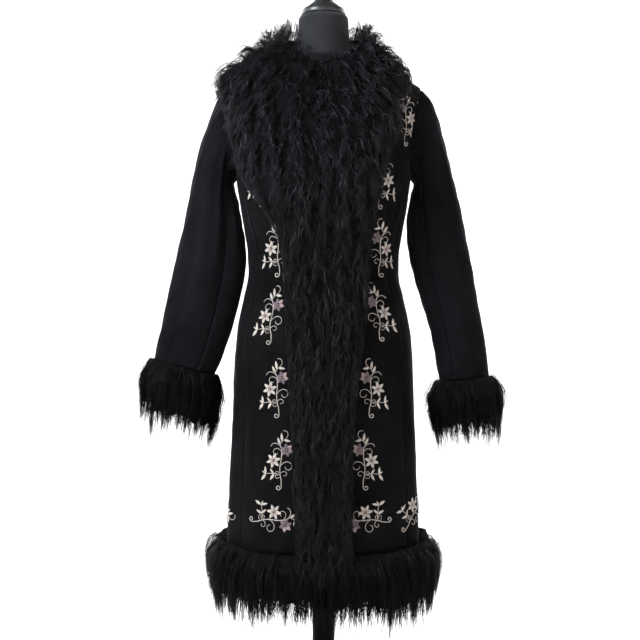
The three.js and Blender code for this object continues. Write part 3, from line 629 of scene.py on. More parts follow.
# %% Measure the sleeves
SLEEVES = {
    "left": table("out_x out_z in_x in_z depth forward",
        (0.204, 1.311, 0.1710, 1.140, 0.052, 0.000),
        (0.214, 1.289, 0.1690, 1.128, 0.050, 0.001),
        (0.223, 1.258, 0.1665, 1.112, 0.049, 0.002),
        (0.232, 1.222, 0.1635, 1.094, 0.048, 0.003),
        (0.245, 1.172, 0.1600, 1.068, 0.046, 0.004),
        (0.258, 1.114, 0.1610, 1.030, 0.044, 0.005),
        (0.271, 1.052, 0.1675, 0.990, 0.043, 0.007),
        (0.283, 0.990, 0.1780, 0.948, 0.042, 0.009),
        (0.293, 0.932, 0.1910, 0.905, 0.041, 0.011),
        (0.303, 0.876, 0.2035, 0.860, 0.040, 0.013),
        (0.311, 0.824, 0.2135, 0.813, 0.039, 0.015),
        (0.317, 0.772, 0.2220, 0.764, 0.038, 0.016)),
    "right": table("out_x out_z in_x in_z depth forward",
        (0.204, 1.310, 0.1710, 1.140, 0.052, 0.000),
        (0.214, 1.284, 0.1690, 1.128, 0.050, 0.001),
        (0.225, 1.252, 0.1665, 1.112, 0.049, 0.002),
        (0.236, 1.218, 0.1635, 1.094, 0.048, 0.004),
        (0.248, 1.168, 0.1595, 1.068, 0.047, 0.006),
        (0.260, 1.106, 0.1535, 1.028, 0.045, 0.008),
        (0.273, 1.041, 0.1520, 0.982, 0.044, 0.010),
        (0.288, 0.972, 0.1580, 0.933, 0.042, 0.013),
        (0.302, 0.908, 0.1700, 0.880, 0.041, 0.016),
        (0.314, 0.852, 0.1870, 0.826, 0.040, 0.018),
        (0.324, 0.806, 0.2080, 0.776, 0.039, 0.020)),
}
HEAD_BLEND = table("at shaped",
    (0, 0.0), (1, 0.45), (2, 0.8), (3, 1.0), (4, 1.0))
SLEEVE_FOLDS = table("around start end swell width on",
    (262, 0.12, 0.92, 0.0032, 15, "both"),
    (281, 0.04, 0.70, 0.0062, 6, "both"),
    (299, 0.10, 0.80, -0.0058, 13, "both"),
    (320, 0.30, 0.62, 0.0045, 8, "both"),
    (240, 0.48, 0.98, -0.0036, 9, "both"),
    (215, 0.25, 0.60, 0.0030, 8, "both"),
    (222, 0.30, 0.80, -0.0024, 16, "both"),
    (95, 0.25, 0.75, -0.0050, 16, "both"),
    (130, 0.20, 0.90, 0.0040, 12, "both"),
    (354, 0.20, 0.68, 0.0059, 26, "right"),
    (14, 0.02, 0.28, 0.0078, 36, "right"))


def armhole_loop(side, fine=4):
    """The armhole's edge from the front seam under the arm, up the back and down the front."""
    across = np.linspace(-1, 1, 8 * fine + 1)
    angles, heights = side_places(np.array(ARMHOLE_JOIN_Z), across)
    under = on_body(side, angles, heights)
    fan = np.linspace(0, FAN_ROWS, FAN_ROWS * fine + 1)[1:]
    back = on_body(side, *on_row(1, FIRST_FAN + fan, 1.0))
    front = on_body(side, *on_row(-1, FIRST_FAN + fan[-2::-1], 1.0))
    return np.concatenate([under, back, front]), len(under)


def sleeve_swell(name, turn, along):
    swell = 0
    for fold in SLEEVE_FOLDS:
        if fold["on"] not in ("both", name):
            continue
        near = (np.degrees(turn) - fold["around"] + 180) % 360 - 180
        middle, reach = (fold["start"] + fold["end"]) / 2, (fold["end"] - fold["start"]) / 2
        length = np.exp(-(((along - middle) / reach) ** 2))
        swell = swell + fold["swell"] * length * np.exp(-((near / fold["width"]) ** 2))
    return swell


# %% Shape a sleeve's grid of points
ROWS_A_STEP = 6


def sleeve_sections(side, measures, centre):
    """Curves of the sections' middle, half width and depth, the first one at the armhole."""
    rows = []
    for i, row in enumerate(measures, 1):
        outer = np.array([side * row["out_x"], 0, row["out_z"]])
        inner = np.array([side * row["in_x"], 0, row["in_z"]])
        middle = (outer + inner) / 2 - np.array([0, row["forward"], 0])
        rows.append(dict(at=i, mx=middle[0], my=middle[1], mz=middle[2],
                         ax=(outer - inner)[0] / 2, az=(outer - inner)[2] / 2, d=row["depth"]))
    rows.insert(0, dict(rows[0], at=0, mx=centre[0], my=centre[1], mz=centre[2]))
    return {key: curve(rows, "at", key) for key in ("mx", "my", "mz", "ax", "az", "d")}


def section_points(sections, at, turn, swell=0.0):
    zero = np.zeros_like(at)
    middle = np.stack([sections["mx"](at), sections["my"](at), sections["mz"](at)], -1)
    across = np.stack([sections["ax"](at), zero, sections["az"](at)], -1)
    depth = np.stack([zero, sections["d"](at), zero], -1)
    arm = -across * np.cos(turn)[..., None] + depth * np.sin(turn)[..., None]
    return middle + arm + unit(arm) * np.asarray(swell)[..., None], unit(arm)


def ring_normals(grid):
    across = np.roll(grid, -1, 1) - np.roll(grid, 1, 1)
    along = np.gradient(grid, axis=0)
    normals = unit(np.cross(across, along))
    away = grid[-1, 0] - grid[-1].mean(0)
    return normals if away @ normals[-1, 0] > 0 else -normals


def shape_sleeve(name, side):
    loop, under_count = armhole_loop(side)
    reach = run(np.concatenate([loop, loop[:1]])[:, None], 0)[:, 0]
    turns = 2 * np.pi * (reach[:-1] - reach[(under_count - 1) // 2]) / reach[-1]
    centre = loop.mean(0)
    sections = sleeve_sections(side, SLEEVES[name], centre)
    count = len(SLEEVES[name])
    at = np.linspace(0, count, count * ROWS_A_STEP + 1)[:, None] + 0 * turns[None, :]
    turn = turns[None, :] + 0 * at
    swell = sleeve_swell(name, turn, at / count) * smoothstep(at, 0, 1.2)
    oval, _ = section_points(sections, at, turn, swell)
    middle = np.stack([sections[key](at) for key in ("mx", "my", "mz")], -1)
    shaped = curve(HEAD_BLEND, "at", "shaped")(at)[..., None]
    grid = mix(loop[None] + middle - centre, oval, shaped)
    return grid, turns, under_count, sections


sleeve_shapes = {name: shape_sleeve(name, side) for name, side in SIDES}
print("sleeve lengths:", {name: round(float(run(shape[0], 0)[-1].mean()), 3)
                          for name, shape in sleeve_shapes.items()})


# %% Cut the sleeves
SLEEVE_EASE = 0.0006


def sleeve_piece(name, part, grid, normals, columns):
    places, out = grid[:, columns], normals[:, columns]
    across = run(places, 1)
    edge = np.minimum(across, across[:, -1:] - across)
    top = run(places, 0)
    lift = ease(places, SLEEVE_EASE) + seam_relief(edge) + seam_relief(top)
    lift = lift * smoothstep(top[-1:] - top, 0, 0.004)
    # The sleeves take the lighter copy of the suede, which is painted light.
    suede_piece(f"sleeve_{name}_{part}", places, out, lift, lit_sleeve_suede)


for name, side in SIDES:
    grid, turns, under_count, _ = sleeve_shapes[name]
    normals = ring_normals(grid)
    last = len(turns)
    under, top = np.arange(under_count), np.arange(under_count - 1, last + 1) % last
    sleeve_piece(name, "under", grid, normals, under)
    sleeve_piece(name, "top", grid, normals, top)

# %% [markdown]
# ## Wool
#
# Long lamb wool grows in locks, whose hairs share one wavy path and lie closer together at the
# tip than at the skin. A hair system would not survive the export, so a few thin tapering
# ribbons stand for a lock's hairs, all in one mesh for each strip. The path of a lock is worked
# out first, by combing it over the trim's own outer shape, and its hairs then scatter round that
# path. Under them lies a dense body of short wool, which keeps daylight from showing through.

# %% Scatter hairs round the paths of locks
STATIONS = 8  # points along a hair's path
HAIR_WIDTH = 0.0011
SHORTEST = 0.72  # of a lock's length


def shorten(paths, share):
    """Each path cut to a share of its length, with as many points."""
    count = paths.shape[1]
    at = np.linspace(0, 1, count)[None, :] * share[:, None] * (count - 1)
    low = np.clip(at.astype(int), 0, count - 2)
    part = (at - low)[..., None]
    each = np.arange(len(paths))[:, None]
    return mix(paths[each, low], paths[each, low + 1], part)


def hairs(paths, outs, rng, per_lock, spread, curl, wavelength, width, gathered=0.72):
    """Ribbons round each lock's path: spread at the skin, gathered at the tip, and curled."""
    paths, outs = np.repeat(paths, per_lock, 0), np.repeat(outs, per_lock, 0)
    count, stations = paths.shape[:2]
    share = rng.uniform(SHORTEST, 1.0, count)
    paths, outs = shorten(paths, share), shorten(outs, share)
    along = unit(np.gradient(paths, axis=1))
    across = unit(np.cross(along, outs))
    outs = np.cross(across, along)
    s = np.linspace(0, 1, stations)[None, :, None]
    lock = np.arange(count) // per_lock
    locks = count // per_lock
    length = run(paths, 1)[..., None]
    pitch = wavelength * rng.uniform(0.8, 1.3, locks)[lock]
    start = rng.uniform(0, 2 * np.pi, locks)[lock] + rng.normal(0, 0.45, count)
    phase = 2 * np.pi * length / pitch[:, None, None] + start[:, None, None]
    size = curl * rng.uniform(0.6, 1.3, count)[:, None, None] * (0.3 + 0.7 * s)
    gather = 1 - gathered * s ** 1.4
    sideways, outwards = rng.normal(0, spread, (2, count, 1, 1))
    paths = paths + across * (sideways * gather + size * np.cos(phase))
    paths = paths + outs * (outwards * 0.8 * gather + 0.7 * size * np.sin(phase))
    tilt = rng.uniform(-0.9, 0.9, count)[:, None, None]
    half = width * rng.uniform(0.7, 1.3, count)[:, None, None] * (1 - s ** 3) / 2
    flat = across * np.cos(tilt) + outs * np.sin(tilt)
    ribbon = np.stack([paths - flat * half, paths + flat * half], 2)
    return np.concatenate([ribbon[:, :-1].reshape(count, -1, 3), paths[:, -1:]], 1)


def hair_faces(points, start):
    """Each ribbon's quads, and the triangle that ends it in a point."""
    count, each = points.shape[:2]
    base = start + np.arange(count)[:, None] * each
    step = np.arange(0, each - 3, 2)[None, :]
    a = base + step
    quads = np.stack([a, a + 1, a + 3, a + 2], -1).reshape(-1, 4)
    tips = (base + np.array([[each - 3, each - 2, each - 1]])).reshape(-1, 3)
    return quads, tips


def wool_piece(node, body, strands, hair):
    """One strip of wool: its dense body and its hairs, in one mesh."""
    points, faces = body
    quads, tips = hair_faces(strands, len(points))
    points = np.concatenate([points, strands.reshape(-1, 3)])
    dense = sum(len(part) for part in faces)
    finishes = np.concatenate([np.full(dense, 1), np.zeros(len(quads) + len(tips))])
    faces = [*faces, quads, tips]
    make_piece(f"{node}_wool", points, faces, [hair, dense_wool], finishes, node)


def lumps(points, depth, pitch, seed):
    """Uneven swellings of the dense wool, as tufts would make."""
    source = np.random.default_rng(seed)
    total = 0
    for share in (1.0, 0.7, 0.45, 0.33):
        way = unit(source.normal(size=(3, 3)))
        phase = source.uniform(0, 6.28, 3)
        waves = np.sin(points @ way.T * 2 * np.pi / (pitch * share) + phase)
        total = total + share * waves.prod(-1)
    return depth * total


# %% [markdown]
# ### Collar and front bands
#
# The front bands and the collar are one long strip on each side, cut where the lapels begin.
# Their width, depth and stand are measured row by row. Across a strip the wool is deepest near
# the middle, and leans outward over its free edge. On the fronts the locks hang down, over the
# shoulders they comb outwards, and at the neck some stand up.

# %% Measure the collar and bands
BAND_WIDTHS = table("z right left",
    (0.452, 0.043, 0.041), (0.560, 0.045, 0.043), (0.660, 0.048, 0.044), (0.740, 0.052, 0.051),
    (0.860, 0.058, 0.067), (0.985, 0.066, 0.078), (1.045, 0.078, 0.083), (1.085, 0.101, 0.088),
    (1.122, 0.129, 0.097), (1.158, 0.148, 0.105), (1.195, 0.155, 0.108))
COLLAR_FRONT = table("right left height stand",
    (0.97, 0.66, 0.042, 0.000), (0.97, 0.63, 0.043, 0.000), (0.97, 0.59, 0.044, 0.012),
    (0.97, 0.55, 0.044, 0.022), (0.97, 0.52, 0.045, 0.028), (0.97, 0.50, 0.045, 0.032),
    (0.97, 0.49, 0.046, 0.034), (0.96, 0.49, 0.046, 0.035), (0.95, 0.50, 0.046, 0.035))
COLLAR_BACK = table("right left height stand",
    (0.93, 0.52, 0.047, 0.036), (0.91, 0.56, 0.048, 0.038), (0.89, 0.62, 0.048, 0.041),
    (0.87, 0.69, 0.048, 0.044), (0.85, 0.76, 0.047, 0.042), (0.84, 0.80, 0.046, 0.020),
    (0.82, 0.81, 0.043, 0.002), (0.80, 0.80, 0.034, 0.000))
BAND_TOP_ROW = 14
BAND_HEIGHT, LAPEL_HEIGHT = 0.034, 0.040
FUR_ACROSS = table("at depth stand lean turn_in",
    (-0.60, 0.60, 1.00, 0.00, 1.20),
    (0.00, 0.78, 1.00, 0.00, 1.20),
    (0.17, 0.95, 1.00, 0.00, 0.70),
    (0.40, 1.00, 0.50, 0.05, 0.20),
    (0.64, 0.97, 0.10, 0.22, 0.00),
    (0.85, 0.72, 0.00, 0.50, 0.00),
    (1.00, 0.26, 0.00, 0.90, 0.00),
    (1.15, 0.10, 0.00, 1.00, 0.00))
FULL_STAND, NECKWARD_RISE, NECK_Y = 0.036, 1.5, -0.001
FREE_FALL, FREE_OUT = np.array([0, 0, -0.048]), np.array([0, -0.009, 0])
across_depth, across_stand, across_lean, across_turn = curves(
    FUR_ACROSS, "at", "depth stand lean turn_in")


def share_at_width(face, row, width):
    _, start_z, end_angle, _ = row_ends(face, row)
    reach = min(width / float(body_half(start_z)), 1)
    angle = math.degrees(math.acos(reach ** (SECTION_ROUND / 2)))
    return (90 - angle) / (90 - abs(float(end_angle)))


def strip_rows(name):
    """Every row of one side's trim: band and lapel, up the neck, and round to the back."""
    width = curve(BAND_WIDTHS, "z", name)
    rows = []
    for row in range(FIRST_FAN + 1):
        grown = min(max((row - BAND_TOP_ROW) / 2, 0), 1)
        rows.append((-1, row, share_at_width(-1, row, float(width(PANEL_ROWS[row]))),
                     mix(BAND_HEIGHT, LAPEL_HEIGHT, grown), 0.0))
    for k, said in enumerate(COLLAR_FRONT):
        rows.append((-1, FIRST_FAN + 1 + k, said[name], said["height"], said["stand"]))
    for k, said in enumerate(COLLAR_BACK):
        rows.append((1, LAST_ROW - 1 - k, said[name], said["height"], said["stand"]))
    ends = [[float(v) for v in row_ends(face, row)] for face, row, *_ in rows]
    keys = ("start_angle", "start_z", "end_angle", "end_z", "share", "height", "stand")
    return {key: np.array([(*end, *row[2:])[i] for end, row in zip(ends, rows)])
            for i, key in enumerate(keys)}


# %% Find a point in a strip's wool
class Strip:
    """One side's trim. Across it u runs from the front or neck edge, 0, to its outer edge, 1,
    along it v counts the rows, and h runs from the skin, 0, to the wool's outer shape, 1."""

    def __init__(self, name, side):
        self.side, self.rows = side, strip_rows(name)

    def row_value(self, key, v):
        values = self.rows[key]
        return np.interp(v, np.arange(len(values)), values)

    def skin(self, u, v):
        share = u * self.row_value("share", v)
        angle = mix(self.row_value("start_angle", v), self.row_value("end_angle", v), share)
        z = mix(self.row_value("start_z", v), self.row_value("end_z", v), share)
        turned = side_angle(self.side, angle)
        normal = body_normal(turned, z)
        return body_point(turned, z) + normal * PELT_LIFT, normal

    def point(self, u, v, h):
        """Rows under 0 hang free below the hem's edge, a little further out."""
        below = np.maximum(-v, 0)[..., None]
        v = np.maximum(v, 0)
        hung = self.on_skin(u, v, h)
        return hung + FREE_FALL * below + FREE_OUT * smoothstep(below, 0, 1.2)

    def on_skin(self, u, v, h):
        skin, normal = self.skin(u, v)
        ahead, _ = self.skin(u + 0.02, v)
        stand = self.row_value("stand", v)
        turned = across_turn(u) * np.minimum(stand / FULL_STAND, 1)
        neckward = np.stack([-skin[..., 0], NECK_Y - skin[..., 1], 0 * u], -1)
        neckward = unit(unit(neckward) + UP * NECKWARD_RISE)
        out = normal + unit(ahead - skin) * across_lean(u)[..., None]
        out = unit(out + neckward * turned[..., None])
        depth = self.row_value("height", v) * across_depth(u)
        rise = stand * across_stand(u)
        return skin + (out * depth[..., None] + UP * rise[..., None]) * h[..., None]


strips = {name: Strip(name, side) for name, side in SIDES}
STRIP_LAST = len(strips["left"].rows["share"]) - 1
print("rows of a strip:", STRIP_LAST + 1)


# %% Choose where locks root and which way they are combed
# Below the waist the wearer's right band lies over the left one, and hides its inner edge.
OVERLAP_FROM, OVERLAP_TO, OVERLAP_REACH = 10.5, 6.0, 0.42
CROSSING = 0.07
CELLS = (24, 120)
FURROWS_ACROSS = (5.2, 2.6)  # on the collar and on the bands
OUTWARD = (0.03, 0.80)  # how far the combing turns outwards, on the bands and at the neck
UPRIGHT_SHARE = 0.75  # of the locks at the collar's inner edge


def front_reach(strip, v):
    """How far past the centre a strip's wool starts, as a share of its width."""
    over = OVERLAP_REACH if strip.side < 0 else 0.0
    across = CROSSING * smoothstep(-v, -FIRST_FAN - 3, -FIRST_FAN - 1)
    return -over * smoothstep(-v, -OVERLAP_FROM, -OVERLAP_TO) - across


def scatter(strip, v_range, count, rng):
    """Places of locks, as even as the strip's real area asks."""
    across, along = np.linspace(0, 1.0, CELLS[0] + 1), np.linspace(*v_range, CELLS[1] + 1)
    share, v = np.meshgrid(across, along, indexing="ij")
    u = mix(front_reach(strip, v), 1.0, share)
    p = strip.point(u, v, np.full(u.shape, 0.8))
    a, b = p[1:, 1:] - p[:-1, :-1], p[1:, :-1] - p[:-1, 1:]
    area = np.linalg.norm(np.cross(a, b), axis=-1).ravel()
    chosen = rng.choice(len(area), count, p=area / area.sum())
    i, j = np.unravel_index(chosen, CELLS)
    share = (i + rng.uniform(0, 1, count)) / CELLS[0]
    v = mix(v_range[0], v_range[1], (j + rng.uniform(0, 1, count)) / CELLS[1])
    return mix(front_reach(strip, v), 1.0, share), v


def furrows(strip, u, v):
    """1 on the ridges of the combed wool and 0 in the furrows between them."""
    band = smoothstep(FIRST_FAN - v, 0, 4)
    count = mix(*FURROWS_ACROSS, band)
    wander = 0.9 * np.sin(v * 0.55 + strip.side) + 0.5 * np.sin(v * 1.31 + 2 + strip.side)
    wander = wander + 0.35 * np.sin(u * 9 + v * 2.3) * (1 - band)
    ridge = 0.5 + 0.5 * np.cos(2 * np.pi * (u * count) + wander)
    return ridge ** 0.6, -np.sin(2 * np.pi * (u * count) + wander)


def comb_way(u, v, across, rng):
    """Which way the wool of a strip is combed: down the fronts, outwards round the neck."""
    count = len(u)
    neck = smoothstep(v, FIRST_FAN, FIRST_FAN + 5)
    edge = smoothstep(v, FIRST_FAN + 4.5, FIRST_FAN + 6) * smoothstep(-u, -0.36, -0.10)
    upright = edge * (rng.uniform(0, 1, count) < UPRIGHT_SHARE)
    outward = mix(*OUTWARD, neck) + rng.normal(0, 0.20, count)
    outward = mix(outward, rng.normal(-0.15, 0.45, count), upright)
    fall = mix(mix(1.0, 0.8, neck), -1.0, upright)
    return across * outward[:, None] - UP * fall[:, None]


# %% Comb the locks of a strip
OVERLAP_HEIGHT = 0.30  # how much deeper the upper band's wool is there
FURROW_HEIGHT = (0.66, 0.80)  # of the ridges' height, on the bands and the collar
FURROW_PULL = 0.012
EDGE_REACH = (1.02, 1.12)  # where combed wool ends across the bands and the collar
LEAST_U, LEAST_V = -0.5, -2.1
SMALL_U, SMALL_V = 0.01, 0.05
BEND = 0.3
STRAY = (-0.13, 0.11)  # how far single locks end short of or past the strip's edge
TUFT_DROP = -0.006
NEAR_MIDDLE = 0.004  # edge points this near the coat's middle meet the other side's there


def small_move(pu, pv, way, step):
    """How far u and v go for a step of one length along a direction in space."""
    uu, uv, vv = [np.einsum("ij,ij->i", a, b) for a, b in ((pu, pu), (pu, pv), (pv, pv))]
    du, dv = [np.einsum("ij,ij->i", way, a) for a in (pu, pv)]
    det = np.maximum(uu * vv - uv * uv, 1e-12)
    su, sv = (vv * du - uv * dv) / det, (uu * dv - uv * du) / det
    moved = np.linalg.norm(pu * su[:, None] + pv * sv[:, None], axis=-1)
    scale = step / np.maximum(moved, 1e-6)
    return su * scale, sv * scale


def comb_strip(strip, v_range, count, length, rng):
    """Paths of a strip's locks, combed a step at a time over its outer shape."""
    u, v = scatter(strip, v_range, count, rng)
    low, high = rng.uniform(0.10, 0.55, count), rng.uniform(0.74, 1.07, count)
    step = rng.uniform(*length, count) / (STATIONS - 1)
    v_high = float(STRIP_LAST)
    paths, outs = [], []
    ridge, pull = furrows(strip, u, v)
    shallow = smoothstep(v, BAND_TOP_ROW, FIRST_FAN + 1)
    high = high * mix(mix(*FURROW_HEIGHT, shallow), 1.0, ridge)
    low_down = smoothstep(-v, -OVERLAP_FROM, -OVERLAP_TO)
    if strip.side < 0:
        high = high * (1 + OVERLAP_HEIGHT * low_down * smoothstep(-u, -0.15, 0.20))
    else:
        high = high * (1 - OVERLAP_HEIGHT * low_down * smoothstep(-u, -0.75, -0.30))
    for k in range(STATIONS):
        t = k / (STATIONS - 1)
        h = mix(low, high, smoothstep(t, 0, 0.5))
        p = strip.point(u, v, h)
        pu = (strip.point(u + SMALL_U, v, h) - p) / SMALL_U
        nudge = np.where(v > v_high - 2 * SMALL_V, -SMALL_V, SMALL_V)
        pv = (strip.point(u, v + nudge, h) - p) / nudge[:, None]
        normal = strip.skin(u, np.maximum(v, 0))[1]
        if k == 0:
            way = comb_way(u, v, unit(pu), rng)
            bend = rng.normal(0, BEND, (count, 1))
            stray = rng.uniform(*STRAY, count)
        turned = way + np.cross(normal, way) * bend * t
        du, dv = small_move(pu, pv, turned, step)
        paths.append(p)
        outs.append(normal)
        widest = mix(*EDGE_REACH, smoothstep(v, BAND_TOP_ROW, FIRST_FAN + 3)) + stray
        u = np.clip(u + du + pull * FURROW_PULL, LEAST_U, widest)
        v = np.clip(v + dv, LEAST_V, v_high)
    return np.stack(paths, 1), np.stack(outs, 1)


def free_tufts(strip, v_range, u_range, count, length, outward, stray, rng):
    """Free tufts at an edge of the collar, each on its own almost straight line."""
    v, u = rng.uniform(*v_range, count), rng.uniform(*u_range, count)
    low, high = rng.uniform(0.3, 0.8, count), rng.uniform(0.85, 1.02, count)
    root, top = strip.point(u, v, low), strip.point(u, v, high)
    normal = strip.skin(u, v)[1]
    across = unit(strip.point(u + 0.02, v, high) - top)
    free = unit(top - root) * (1 - outward) + across * outward + UP * (0.25 - 0.55 * outward)
    free = unit(free + rng.normal(0, stray, (count, 3)))
    reach = rng.uniform(*length, count)[:, None, None]
    t = np.linspace(0, 1, STATIONS)[None, :, None]
    drop = np.array([0, 0, TUFT_DROP]) * t ** 2
    paths = root[:, None] + free[:, None] * reach * t + drop
    return paths, np.repeat(normal[:, None], STATIONS, 1)


def strip_body(strip, v_range, rows, seed, low=0.02, high=0.60):
    """The dense wool under the hairs, at most of the strip's depth."""
    share = np.linspace(0, 1, 17)[None, :]
    v = np.linspace(*v_range, rows)[:, None] + 0 * share
    u = share + 0 * v
    skin = strip.point(u, v, np.full(u.shape, low))
    top = strip.point(u, v, np.full(u.shape, high))
    top = top + strip.skin(u, v)[1] * lumps(top, 0.0030, 0.034, seed)[..., None]
    for grid in (skin, top):
        edge = grid[:, 0]
        near = np.abs(edge[:, 0]) < NEAR_MIDDLE
        edge[near, 0] = strip.side * SEAM_GAP / 2
    return wall(top, skin)


# %% Grow the collar and the front bands
# The collar takes the lighter copy of the wool, which is painted light.
TRIMS = table("part span locks body_rows hair per_lock length curl wavelength seed",
    ("fur_band", (0.0, BAND_TOP_ROW - 0.01), 650, 80, wool, 8, (0.050, 0.090), 0.0030, 0.023, 3),
    ("fur_collar", (BAND_TOP_ROW, STRIP_LAST), 1250, 64, lit_collar_wool, 6, (0.032, 0.060),
     0.0024, 0.016, 11))
TUFTS = table("v_range u_range count length outward stray",
    ((FIRST_FAN + 4.6, STRIP_LAST - 2.5), (0.0, 0.34), 230, (0.014, 0.038), 0.36, 0.38),
    ((FIRST_FAN - 1.0, STRIP_LAST), (0.80, 1.02), 150, (0.020, 0.046), 0.75, 0.28),
    ((FIRST_FAN + 1.2, FIRST_FAN + 4.8), (-0.05, 0.10), 110, (0.010, 0.024), 0.0, 0.50))
for name, side in SIDES:
    strip = strips[name]
    for trim in TRIMS:
        rng = np.random.default_rng(trim["seed"] + side)
        paths, outs = comb_strip(strip, trim["span"], trim["locks"], trim["length"], rng)
        strands = hairs(paths, outs, rng, trim["per_lock"], spread=0.0032, curl=trim["curl"],
                        wavelength=trim["wavelength"], width=HAIR_WIDTH)
        if trim["part"] == "fur_collar":
            for tufts in TUFTS:
                paths, outs = free_tufts(strip, **tufts, rng=rng)
                fluff = hairs(paths, outs, rng, 6, spread=0.0048, curl=0.0016,
                              wavelength=0.020, width=0.0009, gathered=0.15)
                strands = np.concatenate([strands, fluff])
        body = strip_body(strip, trim["span"], trim["body_rows"], trim["seed"])
        wool_piece(f"{trim['part']}_{name}", body, strands, trim["hair"])

# %% [markdown]
# ### Hem and cuffs
#
# Here the skin is sewn under the suede's edge and the wool hangs free of it. Each lock comes out
# from beneath the edge, swells outward and falls. The ones that start highest lie outermost and
# end first, so the fringe is rounded below and ends in pointed wisps.

# %% Measure the hanging wool
HANGING = {row["place"]: row for row in table(
    "place out skin length inner drop clumps longer",
    ("hem", 0.045, 0.056, (0.082, 0.112), -0.008, 0.118, 96, (1.06, 1.22)),
    ("left", 0.0295, 0.062, (0.078, 0.100), -0.004, 0.124, 60, (1.0, 1.0)),
    ("right", 0.0260, 0.066, (0.082, 0.106), -0.004, 0.128, 60, (1.0, 1.0)))}
CUFF_HANG = 0.6  # how far a cuff's wool turns from the sleeve's line to plumb
HEM_PUFF = 0.033
BODY_DROP = 0.73  # how far the dense wool hangs, of the longest
CLUMP_SPREAD, TIP_SPREAD = 0.60, 0.52
PUFF_DEPTH, PUFF_RISE, PUFF_PACE = 0.016, 2.34, 3.2
DRAWN_BACK, SWAY = 0.006, 0.004
SHELL_SWELL, SHELL_ROWS = 0.66, 12
RAGGED = (-0.26, 0.08)
SKIN_THICK = 0.0006


def hem_frame(side, share):
    """Edge point, outward and downward directions of the hem, round one half of the skirt."""
    own = mix(-90.0, 90.0, share)
    angle, z = side_angle(side, own), np.full(np.shape(share), HEM_Z)
    edge = body_point(angle, z)
    out = unit(body_normal(angle, z) * np.array([1, 1, 0]))
    down = np.broadcast_to(-UP, edge.shape)
    return edge, out, down, HEM_PUFF * smoothstep(own, -66, -15)


def front_length(said, place_side, share):
    """The border's wool is longest a little beside the front, more so on the left."""
    extra = said["longer"][place_side > 0] - 1
    return 1 + extra * np.exp(-(((share - 0.20) / 0.16) ** 2))


def cuff_frame(name, share):
    """The same for a sleeve's edge, all the way round."""
    grid, _, _, sections = sleeve_shapes[name]
    last = np.full(np.shape(share), float(len(SLEEVES[name])))
    edge, out = section_points(sections, last, 2 * np.pi * share)
    axis = unit(grid[-1].mean(0) - grid[-7].mean(0))
    down = np.broadcast_to(unit(mix(axis, -UP, CUFF_HANG)), edge.shape)
    return edge, out, down, np.zeros(np.shape(share))


# %% Hang the locks and the dense wool behind them
def hang_locks(place, said, count, rng, ring, side):
    """Paths of locks that leave the skin apart and draw together into clumps below."""
    clumps = said["clumps"]
    middle = (np.arange(clumps) + rng.uniform(0.1, 0.9, clumps)) / clumps
    clump = rng.integers(0, clumps, count)
    root_share = middle[clump] + rng.normal(0, CLUMP_SPREAD / clumps, count)
    root_share = root_share if ring else np.clip(root_share, 0, 1)
    root = said["skin"] * rng.uniform(0, 1, count) ** 1.15
    length = rng.uniform(*said["length"], clumps)[clump] * rng.uniform(0.70, 1.07, count)
    length = length * front_length(said, side, root_share)
    stand = rng.uniform(0.78, 1.02, clumps)[clump] * rng.uniform(0.80, 1.0, count)
    outer = (1.04 - 0.55 * root / said["skin"]) * stand
    t = np.linspace(0, 1, STATIONS)[None, :]
    tip_share = mix(middle[clump], root_share, TIP_SPREAD)
    share = mix(root_share[:, None], tip_share[:, None], smoothstep(t, 0.15, 1.0))
    edge, out, down, puff = place(share)
    lift = puff * (np.exp(-root / PUFF_DEPTH) * rng.uniform(0.5, 1.25, count))[:, None]
    reach = said["out"] * outer[:, None] * smoothstep(t, -0.12, 0.5)
    reach = reach - DRAWN_BACK * smoothstep(t, 0.5, 1) * outer[:, None]
    rise = lift * PUFF_RISE * t * np.exp(1 - PUFF_PACE * t)
    fall = root[:, None] + length[:, None] * t ** 1.15 - rise
    sway = rng.normal(0, SWAY, (count, 1)) * t ** 2
    along = np.cross(out, down)
    paths = edge + out * reach[..., None] + down * fall[..., None] + along * sway[..., None]
    return paths, out


def hang_body(place, said, columns, seed, ring, side):
    """The dense wool behind hanging locks: a rounded curtain with a ragged lower edge."""
    share = np.linspace(0, 1, columns + (1 if ring else 0))
    share = share[:-1] if ring else share
    edge, out, down, puff = place(share)
    t = np.linspace(0, 1, SHELL_ROWS)
    swell = SHELL_SWELL * np.sin(np.pi * np.clip(t * 0.86 + 0.1, 0, 1)) ** 0.7
    reach = said["out"] * swell[:, None] + 0 * share[None, :]
    ragged = np.random.default_rng(seed).uniform(*RAGGED, len(share))
    ragged = 1 + (ragged + np.roll(ragged, 1) + np.roll(ragged, -1))[None, :] / 3
    ragged = ragged * front_length(said, side, share)[None, :]
    deep = 2 * SKIN_THICK + said["drop"] * BODY_DROP * ragged * t[:, None]
    fall = deep - 0.5 * puff[None, :] * (1 - t[:, None]) ** 4
    outer = edge + out * reach[..., None] + down * fall[..., None]
    outer = outer + out * lumps(outer, 0.0025, 0.036, seed)[..., None]
    narrow = said["inner"] * np.minimum(t * 5, 1)[:, None] + 0 * share[None, :] - SKIN_THICK
    inner = edge + out * narrow[..., None] + down * deep[..., None]
    return wall(outer, inner, ring)


